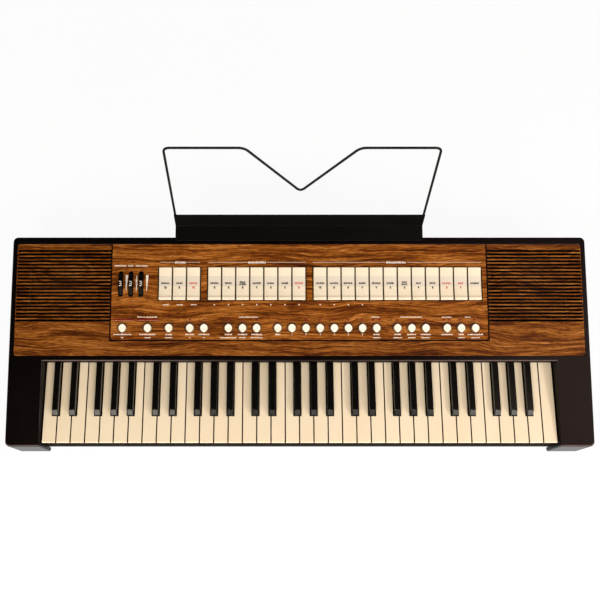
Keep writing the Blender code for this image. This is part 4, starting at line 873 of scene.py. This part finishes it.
def cap_profile():
    """A button's half section: a shallow dish, a quarter-round rim and a straight wall."""
    flat = BUTTON_RADIUS - BUTTON_ROUND
    r = np.linspace(0.0, flat, 7)
    dish = np.stack([r, BUTTON_RISE - BUTTON_DISH * np.cos(math.pi / 2 * r / flat) ** 2], axis=-1)
    a = np.linspace(0.0, math.pi / 2, 7)[1:]
    rim = np.stack([flat + BUTTON_ROUND * np.sin(a), BUTTON_RISE - BUTTON_ROUND * (1 - np.cos(a))],
                   axis=-1)
    foot = STRIP_TOP - BUTTON_SINK
    wall = np.array([[BUTTON_RADIUS, foot], [0.0, foot]])
    return np.concatenate([dish, rim, wall])


def make_buttons():
    """Round dished caps on the bar that joins each set under the panel."""
    cap, cap_faces = turned(cap_profile(), BUTTON_SIDES)
    for name, places in BUTTONS.items():
        left = places[0] - STRIP_HALF
        right = places[-1] + STRIP_HALF
        bar = fillet([(left, -STRIP_HALF), (right, -STRIP_HALF), (right, STRIP_HALF),
                      (left, STRIP_HALF)], radius=0.001)
        points, faces = slab(bar, STRIP_UNDER, STRIP_TOP, edge=0.0002)
        shapes = [(on_deck(points[:, 0], BUTTON_LINE + points[:, 1], points[:, 2]), faces)]
        for x in places:
            placed = on_deck(x + cap[:, 0], BUTTON_LINE + cap[:, 1], cap[:, 2])
            shapes.append((placed, cap_faces))
        piece = make_piece(name + "_moulding", gather(shapes), finishes["buttons"], name)
        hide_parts(name)


def wheel_shape():
    """A wheel about the first axis whose rim radius falls by half a cosine between its teeth,
    with quarter-round shoulders, and a stub shaft at either side."""
    a = np.linspace(0.0, math.pi / 2, 5)
    shoulder_x = WHEEL_HALF - WHEEL_ROUND * (1 - np.sin(a))
    shoulder_r = WHEEL_RADIUS - WHEEL_ROUND * (1 - np.cos(a))
    x = np.concatenate([[STUB_REACH, STUB_REACH, WHEEL_HALF], shoulder_x[::-1]])
    r = np.concatenate([[0.0, STUB_RADIUS, STUB_RADIUS], shoulder_r[::-1]])
    rim = np.concatenate([[0, 0, 0], np.ones(len(a))])
    x = np.concatenate([x, -x[::-1]])
    r = np.concatenate([r, r[::-1]])
    rim = np.concatenate([rim, rim[::-1]])
    sides = WHEEL_TEETH * 4
    turn = np.linspace(0.0, 2 * math.pi, sides, endpoint=False)
    tooth = WHEEL_TOOTH * (0.5 - 0.5 * np.cos(WHEEL_TEETH * turn))
    radius = r[:, None] - rim[:, None] * tooth[None, :]
    points = np.stack(np.broadcast_arrays(x[:, None], radius * np.sin(turn), radius * np.cos(turn)),
                      axis=-1)
    return points.reshape(-1, 3), mesh_grid(len(x), sides, closed=True)


def wheel_print(lines, angle):
    """Strokes wrapped round the wheel's rim: angle = arc / radius."""
    shapes = []
    radius = WHEEL_RADIUS + PRINT_LIFT
    for x0, y0, x1, y1 in lines:
        start = np.array([x0, y0])
        end = np.array([x1, y1])
        run = (end - start) / np.linalg.norm(end - start)
        side = np.array([-run[1], run[0]]) * WHEEL_STROKE / 2
        corners = np.array([start - side, end - side, end + side, start + side])
        turn = angle + corners[:, 1] / radius
        points = np.stack([corners[:, 0], radius * np.sin(turn), radius * np.cos(turn)], axis=-1)
        shapes.append((points, [[0, 1, 2, 3]]))
    return shapes


def make_thumbwheels():
    """Ribbed wheels with plain numbers round the rim, the middle one upward at rest."""
    points, faces = wheel_shape()
    for index, x in enumerate(WHEELS):
        body = f"thumbwheel_{index + 1}"
        placed = on_deck(x + points[:, 0], WHEEL_LINE + points[:, 1], WHEEL_AXIS + points[:, 2])
        wheel = make_piece(body + "_ribbed", (placed, faces), finishes["wheel"], body)
        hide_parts(body)
        marks = []
        for place, number in enumerate(WHEEL_NUMBERS):
            angle = (place / (len(WHEEL_NUMBERS) - 1) - 0.5) * WHEEL_SWEEP
            lines = [((x0 - 0.5) * WHEEL_DIGIT, (y0 - 1) * WHEEL_DIGIT,
                      (x1 - 0.5) * WHEEL_DIGIT, (y1 - 1) * WHEEL_DIGIT)
                     for x0, y0, x1, y1 in DIGITS[number]]
            marks += wheel_print(lines, angle)
        print_points, print_faces = gather(marks)
        placed = on_deck(x + print_points[:, 0], WHEEL_LINE + print_points[:, 1],
                         WHEEL_AXIS + print_points[:, 2])
        make_piece(body + "_print", (placed, print_faces), finishes["white_ink"], body,
                   closed=False)


def make_rest_wire():
    """The bent wire frame of the music rest, in the plane that leans back behind its plate."""
    corners = np.array([
        (-WIRE_HALF, WIRE_FOOT), (-WIRE_HALF, WIRE_TOP), (-DIP_HALF, WIRE_TOP), (0.0, DIP_BOTTOM),
        (DIP_HALF, WIRE_TOP), (WIRE_HALF, WIRE_TOP), (WIRE_HALF, WIRE_FOOT),
    ])
    path = fillet(corners, WIRE_BEND, WIRE_BEND_STEPS)
    ends = WIRE_BEND_STEPS + 1
    path = np.concatenate([corners[:1], path[ends:-ends], corners[-1:]])
    y = FRONT_Y + FOLD_Y + WIRE_OFFSET * math.cos(REST_LEAN) + path[:, 1] * math.sin(REST_LEAN)
    z = FOLD_Z - WIRE_OFFSET * math.sin(REST_LEAN) + path[:, 1] * math.cos(REST_LEAN)
    line = np.stack([path[:, 0], y, z], axis=-1)
    normal = np.array([0.0, math.cos(REST_LEAN), -math.sin(REST_LEAN)])
    wire = make_piece("rest_wire_rod", tube(line, WIRE_RADIUS, normal, WIRE_SIDES),
                      finishes["wire"], "music_rest")
    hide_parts("rest_wire")


def make_lamps():
    """Small red lenses over the buttons, eight together over the first two."""
    first = (LAMPS_IN_ROW - 1) / 2
    places = [x + LAMP_PITCH * (index - first) for x in LAMP_ROWS for index in range(LAMPS_IN_ROW)]
    places += LAMPS_SINGLE
    lens = plate(*LAMP_HALF, radius=0.0005, steps=2)
    points, faces = slab(lens, LAMP_FOOT, LAMP_RISE, edge=0.0003, steps=2)
    shapes = [(on_deck(x + points[:, 0], LAMP_LINE + points[:, 1], points[:, 2]), faces)
              for x in places]
    make_piece("indicator_lamps", gather(shapes), finishes["lamp"], "root")


def make_mains_inlet():
    """The moulded body that fills the opening for the mains lead, with three flat pins in it."""
    middle, level = INLET_PLACE
    body = plate(*INLET_HALF, radius=0.0015, steps=3)
    points, faces = slab(body, INLET_BACK, INLET_FACE, edge=0.0005)
    placed = np.stack([middle + points[:, 0], points[:, 2], level + points[:, 1]], axis=-1)
    make_piece("mains_inlet_body", (placed, faces), finishes["wheel"], "root")
    pin = plate(*PIN_HALF, radius=0.0004, steps=2)
    points, faces = slab(pin, INLET_FACE - PIN_FOOT, INLET_FACE + PIN_RISE, edge=0.0003, steps=2)
    shapes = []
    for across, up in INLET_PINS:
        x = middle + across + points[:, 0]
        shapes.append((np.stack([x, points[:, 2], level + up + points[:, 1]], axis=-1), faces))
    make_piece("mains_inlet_pins", gather(shapes), finishes["lamination"], "root")


def make_hole_rims():
    """Painted shadows: thin near-black rings round the button holes, moved a little towards the rear
    and the left, where the caps' shadows fall.
    """
    inner, outer = BUTTON_SHADOW_RING
    ring, faces = turned([(BUTTON_RADIUS + inner, 0.0), (BUTTON_RADIUS + outer, 0.0)], BUTTON_SIDES)
    shapes = []
    for places in BUTTONS.values():
        for x in places:
            placed = on_deck(x - BUTTON_SHADOW_SHIFT + ring[:, 0],
                             BUTTON_LINE + BUTTON_SHADOW_SHIFT + ring[:, 1], PRINT_LIFT)
            shapes.append((placed, faces))
    make_piece("painted_button_shadows", gather(shapes), finishes["button_shadow_ink"], "root", closed=False)


def panel_height(u):
    """Height of the panel's print over the deck, the same for every U."""
    return np.full_like(np.asarray(u, float), PRINT_LIFT)


def words(ends, line, size, seed):
    """Word blocks between pairs of X on one line of the panel."""
    shapes = []
    for place, (x0, x1) in enumerate(ends):
        shapes += blocks((x0 + x1) / 2, line, x1 - x0, size, panel_height, seed + place)
    return shapes


def make_panel_print():
    """White rules, word blocks, scales and marks on the wood of the control panel."""
    shapes = [ribbon(x0, x1, HEADER_LINE - HEADER_RULE_HALF, HEADER_LINE + HEADER_RULE_HALF,
                     panel_height) for x0, x1 in HEADER_RULES]
    shapes += words(HEADER_WORDS, HEADER_LINE, HEADER_SIZE, seed=0)
    shapes += words(WHEEL_WORDS, WHEEL_WORD_LINE, WHEEL_WORD_SIZE, seed=10)
    for x in TAB_NOTES:
        shapes += blocks(x, TAB_NOTE_LINE, TAB_NOTE_WIDTH, TAB_NOTE_SIZE, panel_height,
                         seed=int(-x * 1e4))
    for start, count in TAB_MARKS:
        for index in range(count):
            x = start + TAB_PITCH * index
            shapes.append(ribbon(x - TAB_MARK_HALF, x + TAB_MARK_HALF, TAB_NOTE_LINE - TAB_MARK_HALF,
                                 TAB_NOTE_LINE + TAB_MARK_HALF, panel_height))
    shapes += [wedge(*mark) for mark in SCALE_MARKS]
    shapes += panel_captions()
    make_piece("panel_print", gather(shapes), finishes["white_ink"], "root", closed=False)


def wedge(x, u0, u1, half0, half1):
    """A tapering scale mark that leans a little."""
    corners = np.array([(x - half0, u0), (x + half0, u0), (x + half1 + SCALE_MARK_LEAN, u1),
                        (x - half1 + SCALE_MARK_LEAN, u1)])
    points = on_deck(corners[:, 0], corners[:, 1], panel_height(corners[:, 1]))
    return points, [[0, 1, 2, 3]]


def panel_captions():
    """Word blocks under the buttons and over their groups, and plain numbers."""
    flat = panel_height
    shapes = []
    for place, (x, first, second) in enumerate(CAPTIONS):
        shapes += blocks(x, CAPTION_LINE, first, CAPTION_SIZE, flat, seed=20 + place)
        if second:
            shapes += blocks(x, SECOND_CAPTION_LINE, second, SECOND_CAPTION_SIZE, flat,
                             seed=40 + place)
    for number, x in enumerate(BUTTONS["buttons_memory"][1:7], 1):
        shapes += strokes(str(number), x, NUMBER_LINE, NUMBER_SIZE, NUMBER_STROKE, flat)
    for place, (x, width, step) in enumerate(GROUP_WORDS):
        shapes += blocks(x, GROUP_WORD_LINE, width, (GROUP_WORD_TALL, step), flat, seed=60 + place)
    return shapes


def make_finishes():
    """Every finish of the instrument, by the name that the pieces use."""
    return {
        # The last colour of each ivory is its painted shade: on the sides of a piece and, for keys,
        # on the skirt and along their edges
        "cream": ivory("cream_moulding", (0.800, 0.700, 0.530), 0.30, (0.150, 0.110, 0.045),
                       hollow_shade=True),
        "ivory": ivory("ivory_keys", (0.790, 0.668, 0.478), 0.34, (0.034, 0.017, 0.004),
                       gloss=0.14, skirt=True),
        "buttons": ivory("button_moulding", (0.910, 0.850, 0.710), 0.26, (0.300, 0.200, 0.100)),
        # The case gets a painted highlight on its rounded edges
        "case": moulded_black("case_black", (0.0005, 0.0002, 0.0001), 0.38, gloss=0.055,
                              lift=0.00001, tint=(1.0, 0.60, 0.54, 1.0), coat=0.4, edge_highlight=1.0),
        "sharp": moulded_black("key_black", (0.0008, 0.0005, 0.0003), 0.20, gloss=0.20,
                               lift=0.00001, tint=(1.0, 0.96, 0.86, 1.0)),
        "wheel": moulded_black("wheel_black", (0.0006, 0.0005, 0.0004), 0.30, gloss=0.06,
                               lift=0.00002, tint=(1.0, 1.0, 1.0, 1.0)),
        "wire": painted_steel("wire_black", (0.0016, 0.0013, 0.0010), 0.34, gloss=0.16),
        "rest": painted_steel("rest_black", (0.0012, 0.0008, 0.0005), 0.38, gloss=0.08),
        "floor_pan": painted_steel("floor_pan", (0.0040, 0.0025, 0.0015), 0.80, gloss=0.05),
        "dark_steel": painted_steel("dark_steel", (0.0080, 0.0065, 0.0050), 0.55, gloss=0.2),
        "lamination": bright_steel("lamination_steel", (0.22, 0.21, 0.20), 0.50),
        "socket_plate": painted_steel("socket_plate", (0.0150, 0.0150, 0.0155), 0.50, gloss=0.3),
        "fascia_wood": walnut("walnut_fascia", shift=(0.0, 0.0, 0.0), light=0.80),
        "panel_wood": walnut("walnut_panel", shift=(0.37, 0.11, 0.0), light=1.0),
        "board": circuit_board("circuit_board"),
        "cone": paper_cone("speaker_paper"),
        "white_ink": ink("white_ink", (0.78, 0.70, 0.58)),
        "black_ink": ink("black_ink", (0.012, 0.010, 0.010)),
        "red_ink": ink("red_ink", (0.60, 0.080, 0.060)),
        # painted shadow round the button holes
        "button_shadow_ink": ink("button_shadow_ink", (0.016, 0.004, 0.001)),
        "lamp": lamp_red("lamp_lens"),
    }


def dress_cad():
    """CAD nodes keep their shape: those that show get rounded corners, all get a finish."""
    shown = (
        ("top_case", finishes["case"], "black_moulding", 0.0009),
        ("base_pan", finishes["floor_pan"], "black_steel", 0.0004),
        ("fascia_panel", finishes["fascia_wood"], "walnut", 0.00045),
        ("control_panel", finishes["panel_wood"], "walnut", 0.00035),
        ("jack_plate", finishes["socket_plate"], "painted_steel", 0.00025),
        ("power_switch", finishes["wheel"], "black_wheel", 0.0004),
        ("rest_bracket", finishes["rest"], "black_steel", 0.0004),
    )
    body_of = {node: body for body, nodes in frame["record"]["behaviour"]["bodies"].items()
               for node in nodes}
    for node, material, slot, edge in shown:
        soften(node, body_of[node], material, edge)
    for node in sorted(frame["nodes"]):
        if node.startswith("naturals") or node == "natural_top_c":
            soften(node, body_of[node], finishes["ivory"], 0.00035)
        elif node.startswith("sharps"):
            soften(node, body_of[node], finishes["sharp"], 0.0004)
    inside = {
        "key_frame": "dark_steel", "power_supply": "lamination", "control_board": "board",
        "main_board": "board", "speaker_left": "cone", "speaker_right": "cone",
    }
    for node, finish in inside.items():
        mesh = frame["nodes"][node].data
        mesh.materials.clear()
        mesh.materials.append(finishes[finish])


def light_path_white(finish, share):
    """Adds plain white of strength 1 for what the camera, gloss and glass see, so that the
    floor reads as a white ground and still shows part of the object's shadow."""
    rays = finish.node("ShaderNodeLightPath", {}, {})
    seen = Shade(finish, rays.outputs["Is Camera Ray"]).maths(
        "MAXIMUM", Shade(finish, rays.outputs["Is Glossy Ray"])).maths(
        "MAXIMUM", Shade(finish, rays.outputs["Is Transmission Ray"]))
    white = finish.node("ShaderNodeEmission", {}, {"Color": (1.0, 1.0, 1.0), "Strength": 1.0})
    mixed = finish.node("ShaderNodeMixShader", {}, {
        0: seen * share, 1: finish.surface.outputs[0], 2: white.outputs[0]})
    finish.tree.links.new(mixed.outputs[0], finish.tree.nodes["Material Output"].inputs[0])


def make_stage():
    """A pale round floor that bends up into a wall: a profile of flat, quarter circle
    (r = R + b sin a, h = b (1 - cos a)) and upright, turned about Z."""
    ground = Finish("studio_floor", 0.9)
    ground.set("Base Color", (0.96, 0.96, 0.96))
    light_path_white(ground, FLOOR_WHITE)
    bend = np.linspace(0.0, math.pi / 2, 9)
    curve = np.stack([FLOOR_RADIUS + FLOOR_BEND * np.sin(bend), FLOOR_BEND * (1 - np.cos(bend))],
                     axis=-1)
    profile = np.concatenate([[[0.0, 0.0]], curve, [[FLOOR_RADIUS + FLOOR_BEND, WALL_HEIGHT]]])
    points, faces = turned(profile, FLOOR_SIDES)
    mesh = bpy.data.meshes.new("studio_floor")
    mesh.from_pydata(points.tolist(), [], faces)
    bm = bmesh.new()
    bm.from_mesh(mesh)
    bmesh.ops.remove_doubles(bm, verts=bm.verts, dist=STAGE_WELD)
    for face in bm.faces:
        face.smooth = True
    bm.to_mesh(mesh)
    bm.free()
    mesh.materials.append(ground.material)
    piece = bpy.data.objects.new("studio_floor", mesh)
    bpy.context.scene.collection.objects.link(piece)


def make_sky():
    """A plain dim light from all sides."""
    world = bpy.context.scene.world or bpy.data.worlds.new("studio")
    bpy.context.scene.world = world
    world.use_nodes = True
    sky = world.node_tree.nodes["Background"]
    sky.inputs["Color"].default_value = SKY_COLOUR
    sky.inputs["Strength"].default_value = WORLD_STRENGTH


def make_lights():
    """Soft boxes round the front: a key light from the right, two fills from the front, one high
    on the right, and three low ones that give the edges their gleam."""
    for name, place, width, height, power, colour in LIGHTS:
        data = bpy.data.lights.new(name, "AREA")
        data.shape = "RECTANGLE"
        data.size = width
        data.size_y = height
        data.energy = power
        data.color = colour
        lamp = bpy.data.objects.new(name, data)
        bpy.context.scene.collection.objects.link(lamp)
        back = np.array(place) - np.array(LIGHTS_AIM)
        lamp.location = place
        lamp.rotation_euler = (math.acos(back[2] / np.linalg.norm(back)), 0.0,
                               math.atan2(back[0], -back[1]))
        lamp.visible_camera = False


def make_camera():
    """The photograph's view: from above and a little in front, just left of the middle."""
    data = bpy.data.cameras.new("camera")
    data.lens = CAMERA_LENS
    data.sensor_width = CAMERA_SENSOR
    data.shift_x = CAMERA_SHIFT
    camera = bpy.data.objects.new("camera", data)
    camera.location = CAMERA_PLACE
    camera.rotation_euler = (CAMERA_TILT, 0.0, 0.0)
    bpy.context.scene.collection.objects.link(camera)
    bpy.context.scene.camera = camera


finishes = make_finishes()
dress_cad()
make_stop_tabs()
make_buttons()
make_thumbwheels()
make_rest_wire()
make_lamps()
make_mains_inlet()
make_hole_rims()
make_panel_print()
make_stage()
make_sky()
make_lights()
make_camera()
bpy.context.scene.view_settings.view_transform = "Standard"
